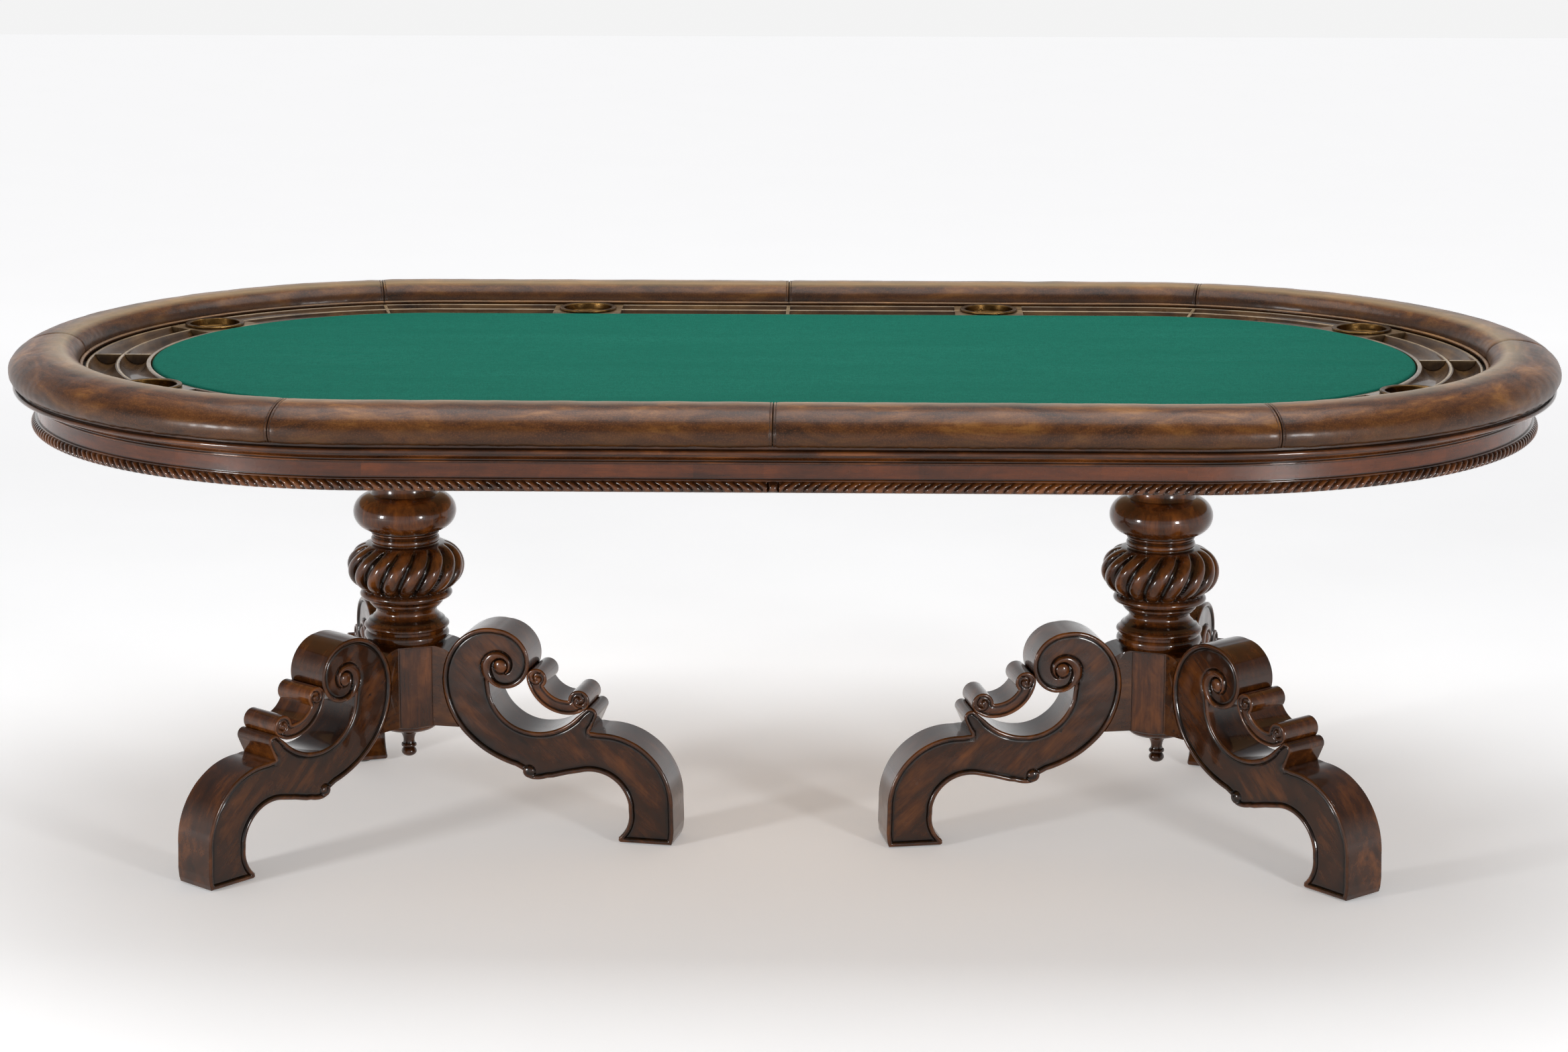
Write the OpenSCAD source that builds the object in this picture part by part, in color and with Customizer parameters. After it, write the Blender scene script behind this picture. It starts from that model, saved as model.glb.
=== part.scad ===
// Eight-seat poker table with a padded leather rail, chip racks, drop-in cup holders
// and two turned pedestals on scrolled legs. Millimetres, +Z up, +X along the length.
// The origin is on the floor, under the middle of the table.

/* [Table top] */
// Half length of the straight sides, also where the round ends have their centres
straight_half = 575; // [500:5:700]
// Half width over the leather rail, the radius of the round ends
rail_outer = 610; // [590:1:640]
// Height of the rail's crest above the floor
table_height = 785; // [760:1:820]

/* [Leather rail] */
// Width of the padded rail
rail_width = 106; // [96:1:120]
// Height of the leather cushion above its lower edge
rail_rise = 56; // [50:1:60]
// Thickness of the leather and its backing
leather_t = 2.5; // [1.5:0.5:4]
// Gap between neighbouring leather panels at a seam
seam_gap = 0.4; // [0.2:0.1:1]

/* [Chip racks] */
// Width of one trough at the tray's surface
trough_w = 41; // [39:0.5:42]
// Depth of a trough below the tray's surface
trough_d = 16; // [10:0.5:18]
// Thickness of a divider between two seats
divider_t = 6; // [3:0.5:10]
// Angle of the corner dividers and seams, from the length of the table
corner_seam = 78; // [72:1:82]

/* [Cup holders] */
// Radius of the flange
flange_r = 47.5; // [46:0.5:48]
// Inside radius of the mouth, above the step
mouth_r = 39.5; // [38:0.5:40]
// Inside radius of the well, below the step
well_r = 34.5; // [33:0.5:36]
// Wall thickness of the brass
brass_t = 1.2; // [1:0.1:1.5]
// Distance of the cup holders on the long sides from the middle
cup_x = 333; // [250:1:360]
// Angle of the cup holders on the round ends
cup_angle = 37.75; // [34:0.25:42]
// Width of the flat plate around a cup holder
plate_w = 112; // [108:1:130]

/* [Pedestals] */
// Distance of each pedestal's axis from the middle
pedestal_x = 588; // [520:1:640]
// Thickness of a scrolled leg
leg_w = 77; // [60:1:90]
// Direction of the inner leg, clockwise from the length of the table
leg_turn = 10.5; // [0:0.5:20]
// Largest radius of the turned bulb
bulb_r = 91.5; // [80:0.5:95]

/* [Hidden] */
$fn = 96;

// Heights, from the floor
cushion_z = table_height - rail_rise;
base_z0 = cushion_z - 8;
base_z1 = cushion_z + 12;
cornice_z = base_z0 - 18;
deck_z0 = cornice_z - 39;
deck_t = 18;
deck_z1 = deck_z0 + deck_t;
tray_z = table_height - 33;
rack_t = 25;
rack_z0 = tray_z - rack_t;
cloth_z = tray_z + 2;
crest_z = table_height;
shoulder_z = table_height - 35;
inner_shoulder_z = table_height - 28;
bead_z0 = deck_z0 - 2;
plate_t = 18;
mount_z0 = deck_z0 - plate_t;

// Radii from the middle line of the stadium
rail_inner = rail_outer - rail_width;
crest_r = rail_outer - 67;
base_outer = rail_outer - 13;
nosing_r = rail_outer - 6;
base_inner = rail_outer - 115;
frieze_outer = rail_outer - 41;
frieze_inner = frieze_outer - 23;
cornice_lip = frieze_outer + 16;
bead_proud = 9.2;
rack_outer = base_inner - 1;
wall_t = 4;
ridge_t = 5;
trough_out_r = rack_outer - wall_t - trough_w / 2;
trough_in_r = trough_out_r - trough_w - ridge_t;
rack_inner = trough_in_r - trough_w / 2 - 7;
cup_r = (rack_outer + rack_inner) / 2;
cloth_r = rack_inner - 2;
cove_r = (pow(trough_w / 2, 2) + pow(trough_d, 2)) / (2 * trough_d);
cove_z = tray_z - trough_d + cove_r;
welt_r = 3;

// Pedestal
hub_z0 = 173;
hub_z1 = 301;
hub_facet = 60;
rod_r = 5;
rod_bore = 5.6;
bolt_r = 4;
bolt_bore = 4.1;
bolt_heights = [215, 275];
glide_t = 2.5;
glide_r = 14;
glide_spots = [368, 414];
eye_x = 162;
eye_z = 274;
eye_r = 12;
scroll_c = [268, 268];
mount_w = 260;
screw_r = 2;
screw_spots = [for (i = [-1, 1], j = [-1, 0, 1]) [i * 105, j * 105]];

// Each seat: 1 on a round end or 0 on a long side, and the signs of its X and Y
SEATS = [[0, 1, -1], [1, 1, -1], [1, 1, 1], [0, 1, 1],
         [0, -1, 1], [1, -1, 1], [1, -1, -1], [0, -1, -1]];
// Each pedestal: the sign of its X
SIDES = [-1, 1];

// Points along a circle's arc, from angle a0 to a1
function arc(c, r, a0, a1, n = 12) =
    [for (i = [0:n]) let (a = a0 + (a1 - a0) * i / n) [c[0] + r * cos(a), c[1] + r * sin(a)]];

// Points along an ellipse's arc
function oval(c, rx, ry, a0, a1, n = 10) =
    [for (i = [0:n]) let (a = a0 + (a1 - a0) * i / n) [c[0] + rx * cos(a), c[1] + ry * sin(a)]];

// Points along a spiral about c, which is r at a0 and grows by exp(rate) each degree
function spiral(c, r, a0, rate, from, to, n) =
    [for (i = [0:n]) let (a = from + (to - from) * i / n, q = r * exp(rate * (a - a0)))
        [c[0] + q * cos(a), c[1] + q * sin(a)]];

// ---------- stadium shapes ----------

module stadium(r) {
    square([2 * straight_half, 2 * r], center = true);
    for (s = [-1, 1])
        translate([s * straight_half, 0]) circle(r);
}

module stadium_plate(r, z0, z1) {
    translate([0, 0, z0])
        linear_extrude(z1 - z0) stadium(r);
}

// A profile, drawn as radius and height, run along X on the back long side
module straight_run(x0, x1) {
    translate([x0, 0, 0])
        rotate([90, 0, 90]) linear_extrude(x1 - x0) children();
}

// The same profile turned around the right end's centre
module bend_run(a0, a1) {
    translate([straight_half, 0, 0])
        rotate([0, 0, a0]) rotate_extrude(angle = a1 - a0) children();
}

module stadium_ring() {
    for (m = [0, 1]) {
        mirror([0, m, 0]) straight_run(-straight_half, straight_half) children();
        mirror([m, 0, 0]) bend_run(-90, 90) children();
    }
}

// Puts a piece drawn in the back right quarter where its seat is
module at_seat(k) {
    mirror([(1 - SEATS[k][1]) / 2, 0, 0])
        mirror([0, (1 - SEATS[k][2]) / 2, 0]) children();
}

// One seat's share of a run, in the back right quarter, kept gap short of both seams
module seat_run(k, gap) {
    half_turn = asin(gap / crest_r);
    if (SEATS[k][0] == 0) {
        straight_run(gap, straight_half) children();
        bend_run(corner_seam + half_turn, 90) children();
    } else {
        bend_run(half_turn, corner_seam - half_turn) children();
    }
}

// A seat's cup holder, at its own axis
module at_cup(k) {
    if (SEATS[k][0] == 0)
        translate([cup_x, cup_r, 0]) rotate([0, 0, 90]) children();
    else
        translate([straight_half, 0, 0])
            rotate([0, 0, cup_angle]) translate([cup_r, 0, 0]) children();
}

// ---------- frame and apron ----------

module deck_board() {
    color("peru") difference() {
        stadium_plate(frieze_inner, deck_z0, deck_z1);
        for (s = SIDES) translate([s * pedestal_x, 0, deck_z0 - 1]) {
            cylinder(r = 16, h = 15);
            for (p = screw_spots)
                translate([p[0], p[1], 0]) cylinder(r = screw_r, h = 13);
        }
    }
}

module batten(x, y) {
    translate([x - 30, -y, deck_z1]) cube([60, 2 * y, rack_z0 - deck_z1]);
}

module bearers() {
    color("burlywood") {
        difference() {
            stadium_plate(frieze_inner - 1, deck_z1, base_z0);
            stadium_plate(frieze_inner - 42, deck_z1 - 1, base_z0 + 1);
        }
        for (x = [-700, -455, -190, 0, 190, 455, 700]) batten(x, rack_outer - 40);
        for (s = SIDES)
            translate([s * (straight_half + 300) - 170, -30, deck_z1])
                cube([340, 60, rack_z0 - deck_z1]);
    }
}

module frieze_profile() {
    translate([frieze_inner, deck_z0])
        square([frieze_outer - frieze_inner, cornice_z - deck_z0]);
}

module apron_long(side) {
    color("saddlebrown") mirror([0, side, 0])
        straight_run(-straight_half, straight_half) frieze_profile();
}

module apron_end(side) {
    color("saddlebrown") mirror([side, 0, 0]) bend_run(-90, 90) frieze_profile();
}

module gadroon_moulding() {
    half_h = 8;
    color("sienna") stadium_ring()
        polygon(concat(oval([frieze_outer, bead_z0 + half_h], bead_proud, half_h, -90, 65, 11),
                       [[frieze_outer + 2.5, bead_z0 + 16], [frieze_outer + 2.5, bead_z0 + 19],
                        [frieze_outer, bead_z0 + 19]]));
}

module cornice_moulding() {
    steps = 8;
    foot = frieze_outer + 2;
    color("saddlebrown") stadium_ring()
        polygon(concat([[frieze_inner, base_z0], [frieze_inner, cornice_z]],
                       [for (i = [0:steps])
                           [foot + (cornice_lip - foot) * (1 - cos(180 * i / steps)) / 2,
                            cornice_z + 14 * i / steps]],
                       [[cornice_lip, base_z0]]));
}

module rail_base() {
    color("peru") stadium_ring()
        polygon(concat([[base_inner, base_z1], [base_inner, base_z0], [base_outer, base_z0]],
                       oval([nosing_r - 3.5, base_z0 + 3.5], 3.5, 3.5, -90, 90, 8),
                       [[base_outer, base_z0 + 7], [base_outer, base_z1]]));
}

// ---------- leather rail ----------

// The cushion's outline from its inner foot over the crest to its outer foot, t inside the leather
function cushion(t) = concat(
    [[rail_inner + t, base_z1]],
    oval([crest_r, inner_shoulder_z], crest_r - rail_inner - t, crest_z - inner_shoulder_z - t, 180, 90),
    oval([crest_r, shoulder_z], rail_outer - crest_r - t, crest_z - shoulder_z - t, 81, 0, 9),
    oval([rail_outer - 13, shoulder_z], 13 - t, shoulder_z - cushion_z - t, -12, -90, 6));

function backwards(list) = [for (i = [len(list) - 1:-1:0]) list[i]];

module rail_foam() {
    color("khaki") stadium_ring()
        polygon(concat(cushion(leather_t), [[base_outer, base_z1]]));
}

module rail_panel(k) {
    color("rosybrown") at_seat(k) seat_run(k, seam_gap / 2)
        polygon(concat(cushion(0), backwards(cushion(leather_t))));
}

module rail_welt() {
    color("sienna") stadium_ring()
        translate([rail_inner - welt_r - 0.2, base_z1 + 13]) circle(welt_r);
}

module rail_gimp() {
    color("dimgray") stadium_ring()
        translate([base_inner + 0.4, base_z1]) square([5, 4]);
}

// ---------- playing surface ----------

module play_board() {
    color("peru") stadium_plate(cloth_r - 3, rack_z0, tray_z - 6);
}

module play_pad() {
    color("gainsboro") stadium_plate(cloth_r - 6, tray_z - 6, cloth_z - 1.2);
}

module play_cloth() {
    roll = 5;
    thick = 1.2;
    skirt = 19;
    c = [cloth_r - roll, cloth_z - roll];
    color("seagreen") {
        stadium_ring()
            polygon(concat([[cloth_r, cloth_z - skirt]], arc(c, roll, 0, 90, 6),
                           [[cloth_r - 14, cloth_z], [cloth_r - 14, cloth_z - thick]],
                           arc(c, roll - thick, 90, 0, 6), [[cloth_r - thick, cloth_z - skirt]]));
        stadium_plate(cloth_r - 14, cloth_z - thick, cloth_z);
    }
}

// ---------- chip racks ----------

// Points of a trough's cove, from its inner edge to its outer edge
function cove(r, shrink = 0) =
    let (half = asin(trough_w / 2 / cove_r))
    arc([r, cove_z], cove_r - shrink, 270 - half, 270 + half, 10);

module rack_blank_profile() {
    translate([rack_inner, rack_z0]) square([rack_outer - rack_inner, rack_t]);
}

module rack_profile() {
    polygon(concat([[rack_inner, rack_z0], [rack_inner, tray_z]], cove(trough_in_r),
                   cove(trough_out_r), [[rack_outer, tray_z], [rack_outer, rack_z0]]));
}

// The stretch of a seat's rack that holds its cup holder
module cup_run(k) {
    if (SEATS[k][0] == 0) straight_run(0, straight_half) children();
    else bend_run(0, corner_seam) children();
}

module rack(k) {
    color("saddlebrown") at_seat(k) {
        difference() {
            union() {
                cup_run(k) rack_profile();
                intersection() {
                    cup_run(k) rack_blank_profile();
                    at_cup(k) translate([-80, -plate_w / 2, rack_z0 - 1])
                        cube([160, plate_w, rack_t + 2]);
                }
            }
            at_cup(k) translate([0, 0, rack_z0 - 1])
                cylinder(r = mouth_r + brass_t + 0.5, h = rack_t + 2);
        }
        if (SEATS[k][0] == 0) bend_run(corner_seam, 90) rack_profile();
    }
}

// A divider is two half moons across the troughs, in the plane of the profile
module divider() {
    rotate([90, 0, 0]) linear_extrude(divider_t, center = true)
        for (r = [trough_in_r, trough_out_r]) polygon(cove(r, 0.1));
}

module rack_dividers() {
    color("saddlebrown") for (m = [0, 1]) {
        mirror([0, m, 0]) rotate([0, 0, 90]) divider();
        mirror([m, 0, 0]) translate([straight_half, 0, 0]) divider();
        for (n = [0, 1])
            mirror([m, 0, 0]) mirror([0, n, 0])
                translate([straight_half, 0, 0]) rotate([0, 0, corner_seam]) divider();
    }
}

// ---------- cup holders ----------

module cup(k) {
    rim_t = 4.4;
    seat_z = tray_z + 0.2;
    step_z = tray_z - 7;
    floor_z = tray_z - 60;
    color("darkgoldenrod") at_seat(k) at_cup(k) rotate_extrude()
        polygon(concat([[0, floor_z], [well_r + brass_t, floor_z],
                        [well_r + brass_t, step_z - brass_t], [mouth_r + brass_t, step_z - brass_t],
                        [mouth_r + brass_t, seat_z]],
                       oval([flange_r - 2.2, seat_z + rim_t / 2], 2.2, rim_t / 2, -90, 90, 6),
                       oval([mouth_r + 1.5, seat_z + rim_t - 1.5], 1.5, 1.5, 90, 180, 4),
                       [[mouth_r, step_z], [well_r, step_z],
                        [well_r, floor_z + brass_t], [0, floor_z + brass_t]]));
}

// ---------- pedestals ----------

module at_pedestal(s) {
    translate([s * pedestal_x, 0, 0]) mirror([(1 + s) / 2, 0, 0]) children();
}

module mounting_plate(s) {
    color("peru") translate([s * pedestal_x, 0, mount_z0]) difference() {
        translate([-mount_w / 2, -mount_w / 2, 0]) cube([mount_w, mount_w, plate_t]);
        translate([0, 0, -1]) cylinder(r = rod_bore, h = plate_t + 2);
        for (p = screw_spots)
            translate([p[0], p[1], -1]) cylinder(r = screw_r, h = plate_t + 2);
    }
}

// Outline of the turned column from the hub up to the mounting plate
column_outline = concat(
    [[rod_bore, hub_z1], [60, hub_z1]],
    oval([58, 311], 8, 8, -60, 60, 6),
    oval([58, 326], 8.5, 5, -60, 60, 6),
    [[59.7, 335], [54, 338]],
    oval([62, 349], 14.5, 10, 225, 135, 6),
    [[55, 359]],
    oval([53, 363], 4.1, 3.5, -90, 90, 6),
    [[61, 370]],
    oval([64, 376], 8, 6, -80, 80, 6),
    oval([52, 419], bulb_r - 52, 37, -62, 90, 14),
    [[51.4, 456], [50, 463], [52, 469], [50, 475]],
    oval([50, 507], 30.1, 29, -84, 84, 14),
    [[52, 540], [50, 552]],
    oval([50, 560], 7, 5, -80, 80, 6),
    [[48, 570], [47, mount_z0 - 44], [56, mount_z0 - 32], [72, mount_z0 - 24],
     [85, mount_z0 - 20], [85, mount_z0], [rod_bore, mount_z0]]);

module column(s) {
    color("sienna") at_pedestal(s) rotate_extrude() polygon(column_outline);
}

// The leg's back, rising to its furthest in, and its crown from there; n steps to or from angle a
function leg_back(a, n) = arc([196, 250], 128, a, 184, n);
function leg_crown(a, n) = spiral([eye_x, eye_z], 60.4, 97, 0.00485, 195, a, n);

// Side view of a leg: distance from the pedestal's axis, and height
leg_outline = concat(
    leg_crown(97, 14),
    spiral([eye_x, eye_z], 60.4, 97, 0.0029, 90, -128, 24),
    arc([218, 247], 75, 195, 270, 10),
    arc([218, 262], 90, 272, 316, 8),
    arc([306, 206], 9, 135, -30, 8),
    [[303, 178], [318, 176]],
    arc([324, 64], 112, 88, -2, 16),
    [[437, 24], [433, glide_t], [352, glide_t]],
    arc([352, 6], 3, 250, 150, 4),
    arc([319, 46], 47, -50, 8, 6),
    arc([306, 53], 60, 10, 100, 10),
    [[267, 106], [244, 99.5]],
    arc([216, 150], 55, 290, 264, 4),
    arc([206, 107], 10, 250, 170, 6),
    arc([225.7, 279.7], 170, 256, 228, 6),
    leg_back(224, 8));

module leg_bolts_run(extra, r) {
    for (z = bolt_heights)
        translate([24 - extra, 0, z]) rotate([0, 90, 0]) cylinder(r = r, h = 94 + 2 * extra);
}

module leg_shape() {
    difference() {
        rotate([90, 0, 0]) linear_extrude(leg_w, center = true) polygon(leg_outline);
        leg_bolts_run(1, bolt_bore);
    }
    for (m = [0, 1])
        mirror([0, m, 0]) translate([eye_x, leg_w / 2 - 1, eye_z])
            rotate([-90, 0, 0]) cylinder(r = eye_r, h = 4);
}

leg_angles = [-leg_turn, -leg_turn - 120, -leg_turn + 120];

module leg(s, i) {
    color("saddlebrown") at_pedestal(s) rotate([0, 0, leg_angles[i]]) leg_shape();
}

arm_w = leg_w - 1;

// Plan of the hub: three arms, with a wide facet between each two
facet_s = 2 * hub_facet - sqrt(3) * arm_w / 2;
hub_plan = [for (a = [0, 120, 240], p = [[facet_s, -1], [104, -1], [104, 1], [facet_s, 1]])
    [p[0] * cos(a) - p[1] * arm_w / 2 * sin(a), p[0] * sin(a) + p[1] * arm_w / 2 * cos(a)]];

// Side view of what is cut off an arm's end: the hollow that fits the leg's back, and the sloping top
arm_cut = concat([[110, hub_z0 - 9]], leg_back(219, 7), leg_crown(167, 4),
                 [[72, 297], [64, 299.5], [50, 302.5], [110, 302.5]]);

module hub(s) {
    color("saddlebrown") at_pedestal(s) difference() {
        translate([0, 0, hub_z0]) linear_extrude(hub_z1 - hub_z0)
            rotate([0, 0, leg_angles[0]]) polygon(hub_plan);
        translate([0, 0, hub_z0 - 1]) cylinder(r = rod_bore, h = hub_z1 - hub_z0 + 2);
        translate([0, 0, hub_z0 - 1]) cylinder(r = 15, h = 17);
        for (a = leg_angles) rotate([0, 0, a]) {
            rotate([90, 0, 0]) linear_extrude(leg_w + 4, center = true) polygon(arm_cut);
            leg_bolts_run(1, bolt_bore);
        }
    }
}

module finial(s) {
    color("saddlebrown") at_pedestal(s) rotate_extrude()
        polygon(concat([[0, 110]],
                       oval([0, 118.5], 12, 8.5, -80, 60, 8),
                       oval([8, 129], 4.2, 3.6, -70, 70, 6),
                       oval([25, 136], 16.3, 19, 180, 105, 8),
                       oval([20, 166], 26, 11.5, -80, 0, 6),
                       [[48, 168], [51.6, 170], [51.6, hub_z0], [rod_bore, hub_z0]],
                       [[rod_bore, 160], [0, 160]]));
}

// A leg's C-shaped bracket, a band with a volute at each end
module bracket_shape() {
    rotate([90, 0, 0]) linear_extrude(leg_w - 2, center = true) {
        translate([219.5, 257]) circle(16.2);
        translate([287, 225]) circle(17);
        polygon(concat(arc(scroll_c, 66, 195, 292, 14), arc(scroll_c, 43, 288, 205, 12)));
    }
}

module brackets(s) {
    color("saddlebrown") at_pedestal(s)
        for (a = leg_angles) rotate([0, 0, a]) bracket_shape();
}

// ---------- hardware ----------

module nut_and_washer(z_washer, z_nut) {
    for (p = [[z_washer, 13, 2, 48], [z_nut, 9.5, 8, 6]])
        translate([0, 0, p[0]]) cylinder(r = p[1], h = p[2], $fn = p[3]);
}

module tie_rods() {
    color("silver") for (s = SIDES) translate([s * pedestal_x, 0, 0]) {
        translate([0, 0, 162]) cylinder(r = rod_r, h = deck_z0 + 12 - 162);
        nut_and_washer(deck_z0, deck_z0 + 2);
        nut_and_washer(hub_z0 + 14, hub_z0 + 6);
    }
}

module leg_bolts() {
    color("silver") for (s = SIDES) at_pedestal(s)
        for (a = leg_angles) rotate([0, 0, a]) leg_bolts_run(0, bolt_r);
}

module floor_glides() {
    color("dimgray") for (s = SIDES) at_pedestal(s)
        for (a = leg_angles, x = glide_spots)
            rotate([0, 0, a]) translate([x, 0, 0]) cylinder(r = glide_r, h = glide_t);
}

module mounting_screws() {
    color("silver") for (s = SIDES, p = screw_spots)
        translate([s * pedestal_x + p[0], p[1], mount_z0]) {
            translate([0, 0, -2]) cylinder(r = 4, h = 2);
            cylinder(r = screw_r - 0.05, h = plate_t + 11);
        }
}

deck_board();
bearers();
apron_long(1);  // apron_front
apron_long(0);  // apron_back
apron_end(1);  // apron_left
apron_end(0);  // apron_right
gadroon_moulding();
cornice_moulding();
rail_base();
rail_foam();
for (k = [0:7]) rail_panel(k);
rail_welt();
rail_gimp();
play_board();
play_pad();
play_cloth();
for (k = [0:7]) rack(k);
rack_dividers();
for (k = [0:7]) cup(k);
mounting_plate(-1);  // left_mounting_plate
mounting_plate(1);  // right_mounting_plate
column(-1);  // left_column
column(1);  // right_column
hub(-1);  // left_hub
hub(1);  // right_hub
finial(-1);  // left_finial
finial(1);  // right_finial
leg(-1, 0);  // left_leg_inner
leg(-1, 1);  // left_leg_front
leg(-1, 2);  // left_leg_back
leg(1, 0);  // right_leg_inner
leg(1, 1);  // right_leg_front
leg(1, 2);  // right_leg_back
brackets(-1);  // left_brackets
brackets(1);  // right_brackets
tie_rods();
leg_bolts();
floor_glides();
mounting_screws();
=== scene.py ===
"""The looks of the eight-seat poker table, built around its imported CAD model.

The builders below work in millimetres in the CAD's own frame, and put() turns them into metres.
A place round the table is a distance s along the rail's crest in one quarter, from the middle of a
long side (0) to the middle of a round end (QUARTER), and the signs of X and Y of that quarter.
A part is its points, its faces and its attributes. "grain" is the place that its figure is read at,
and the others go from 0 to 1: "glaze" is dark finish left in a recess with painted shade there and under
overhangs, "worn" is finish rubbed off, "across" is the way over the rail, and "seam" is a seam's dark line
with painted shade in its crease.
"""

import math

import bmesh
import bpy
import numpy as np
from mathutils import Matrix, Vector
from mathutils.geometry import delaunay_2d_cdt


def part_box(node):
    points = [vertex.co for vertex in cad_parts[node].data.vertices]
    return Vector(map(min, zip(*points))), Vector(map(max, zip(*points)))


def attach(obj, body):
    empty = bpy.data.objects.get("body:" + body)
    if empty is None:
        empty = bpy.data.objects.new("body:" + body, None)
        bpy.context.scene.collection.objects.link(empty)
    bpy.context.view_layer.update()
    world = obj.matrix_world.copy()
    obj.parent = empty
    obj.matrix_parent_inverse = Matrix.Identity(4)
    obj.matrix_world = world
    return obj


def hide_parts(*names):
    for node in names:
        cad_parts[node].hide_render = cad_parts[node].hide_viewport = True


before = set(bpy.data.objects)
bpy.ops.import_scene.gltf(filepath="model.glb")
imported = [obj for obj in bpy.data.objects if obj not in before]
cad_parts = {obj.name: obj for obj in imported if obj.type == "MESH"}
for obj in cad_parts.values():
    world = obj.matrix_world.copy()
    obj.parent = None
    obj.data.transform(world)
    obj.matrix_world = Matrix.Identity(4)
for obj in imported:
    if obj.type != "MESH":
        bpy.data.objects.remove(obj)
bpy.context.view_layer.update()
scene = bpy.context.scene
scene.view_settings.view_transform = "Standard"


def box(node):
    low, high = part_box(node)
    return np.array(low) * 1000, np.array(high) * 1000


# ---------- sizes, most of them from the CAD's boxes ----------
# a long side is straight from -A to A, and the radii of the round ends are taken from its ends
A, CORNICE = box("apron_front")[1][0], box("apron_front")[1][2]
FRIEZE, DECK = -box("apron_front")[0][1], box("apron_front")[0][2]
RO = box("rail_panel_2")[1][0] - A
CREST = box("rail_panel_2")[1][2]
RACK0, TRAY = box("rack_1")[0][2], box("rack_1")[1][2]
RACK_OUT = -box("rack_1")[0][1]
CLOTH_R, CLOTH_Z = box("play_cloth")[1][1], box("play_cloth")[1][2]
BASE0, BASE1 = box("rail_base")[0][2], box("rail_base")[1][2]
BASE_IN, BASE_OUT = RO - 115, RO - 13
# how far the leather reaches inside and outside its crest
RAIL_IN, RAIL_OUT = 39, 67
R_MID, FOOT_IN = RO - RAIL_OUT, RO - RAIL_OUT - RAIL_IN
# the pedestals' axes are at -PED and PED
PED = float(np.mean([b[0] for b in box("right_column")]))
SEAM_ANGLE = 78.0
SEAM_S = A + R_MID * math.radians(90 - SEAM_ANGLE)
QUARTER = A + R_MID * math.pi / 2
# seats 1 to 8: whether it is at a round end, and the signs of its quarter
SEATS = [(0, 1, -1), (1, 1, -1), (1, 1, 1), (0, 1, 1), (0, -1, 1), (1, -1, 1), (1, -1, -1), (0, -1, -1)]
# the seams between the seats: at the middles of the sides and ends, and near the ends' corners
SEAMS = [(0.0, 1, 1), (0.0, 1, -1), (QUARTER, 1, 1), (QUARTER, -1, 1)]
SEAMS += [(SEAM_S, sx, sy) for sx in (1, -1) for sy in (1, -1)]
LEG_ANGLES = {"inner": -10.5, "front": -130.5, "back": 109.5}


# ---------- mesh helpers ----------
def signed_volume(v, faces):
    """Six times the volume that the faces enclose, below 0 if they face inwards."""
    t = np.array([(f[0], f[i], f[i + 1]) for f in faces for i in range(1, len(f) - 1)])
    a, b, c = v[t[:, 0]], v[t[:, 1]], v[t[:, 2]]
    return float((a * np.cross(b, c)).sum())


def join(parts):
    """Several (points, faces, attributes) as one."""
    verts, faces, attrs, base = [], [], {}, 0
    for v, f, a in parts:
        verts.append(np.asarray(v, float))
        faces += [[i + base for i in face] for face in f]
        for k, x in a.items():
            attrs.setdefault(k, []).append(x)
        base += len(v)
    return np.concatenate(verts), faces, {k: np.concatenate(x) for k, x in attrs.items()}


def oriented(part):
    """The part with its faces turned outwards."""
    v, f, a = part
    f = f.tolist() if isinstance(f, np.ndarray) else f
    if signed_volume(np.asarray(v, float), f) < 0:
        f = [face[::-1] for face in f]
    return v, f, a


def put(name, part, material, replaces=(), body="table", sharp=38, bevel=0, weld=False):
    """Makes a part into a piece. Edges round a "rim", and those that turn by more than sharp, stay crisp."""
    v, faces, attrs = oriented(part)
    me = bpy.data.meshes.new(name)
    me.from_pydata((np.asarray(v, float) * 0.001).tolist(), [], faces)
    for k, x in attrs.items():
        x = np.asarray(x, np.float32)
        kind = "FLOAT" if x.ndim == 1 else "FLOAT_VECTOR"
        field = "value" if x.ndim == 1 else "vector"
        me.attributes.new(k, kind, "POINT").data.foreach_set(field, x.ravel())
    if weld:
        bm = bmesh.new()
        bm.from_mesh(me)
        bmesh.ops.remove_doubles(bm, verts=bm.verts, dist=2e-6)
        bmesh.ops.dissolve_degenerate(bm, edges=bm.edges, dist=1e-6)
        bm.to_mesh(me)
        bm.free()
    me.polygons.foreach_set("use_smooth", [True] * len(me.polygons))
    me.set_sharp_from_angle(angle=math.radians(sharp))
    if "rim" in attrs:
        rim = attrs["rim"]
        for e in me.edges:
            if rim[e.vertices[0]] and rim[e.vertices[0]] == rim[e.vertices[1]]:
                e.use_edge_sharp = True
    o = bpy.data.objects.new(name, me)
    scene.collection.objects.link(o)
    me.materials.append(material)
    if bevel:
        ease(o, bevel)
    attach(o, body)
    if replaces:
        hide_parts(*replaces)
    return o


def ease(o, width, segments=2, angle=40):
    """Rounds an object's edges with a bevel of this width."""
    m = o.modifiers.new("eased edges", "BEVEL")
    m.width = width * 0.001
    m.segments = segments
    m.limit_method = "ANGLE"
    m.angle_limit = math.radians(angle)
    m.harden_normals = True
    m.use_clamp_overlap = True


def arc(c, rx, a0, a1, step=1.6, rz=None):
    """Points about step apart on a circle or ellipse, from angle a0 to a1."""
    rz = rx if rz is None else rz
    n = max(3, math.ceil(math.radians(abs(a1 - a0)) * max(rx, rz) / step) + 1)
    a = np.radians(np.linspace(a0, a1, n))
    return np.stack([c[0] + rx * np.cos(a), c[1] + rz * np.sin(a)], 1)


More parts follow.
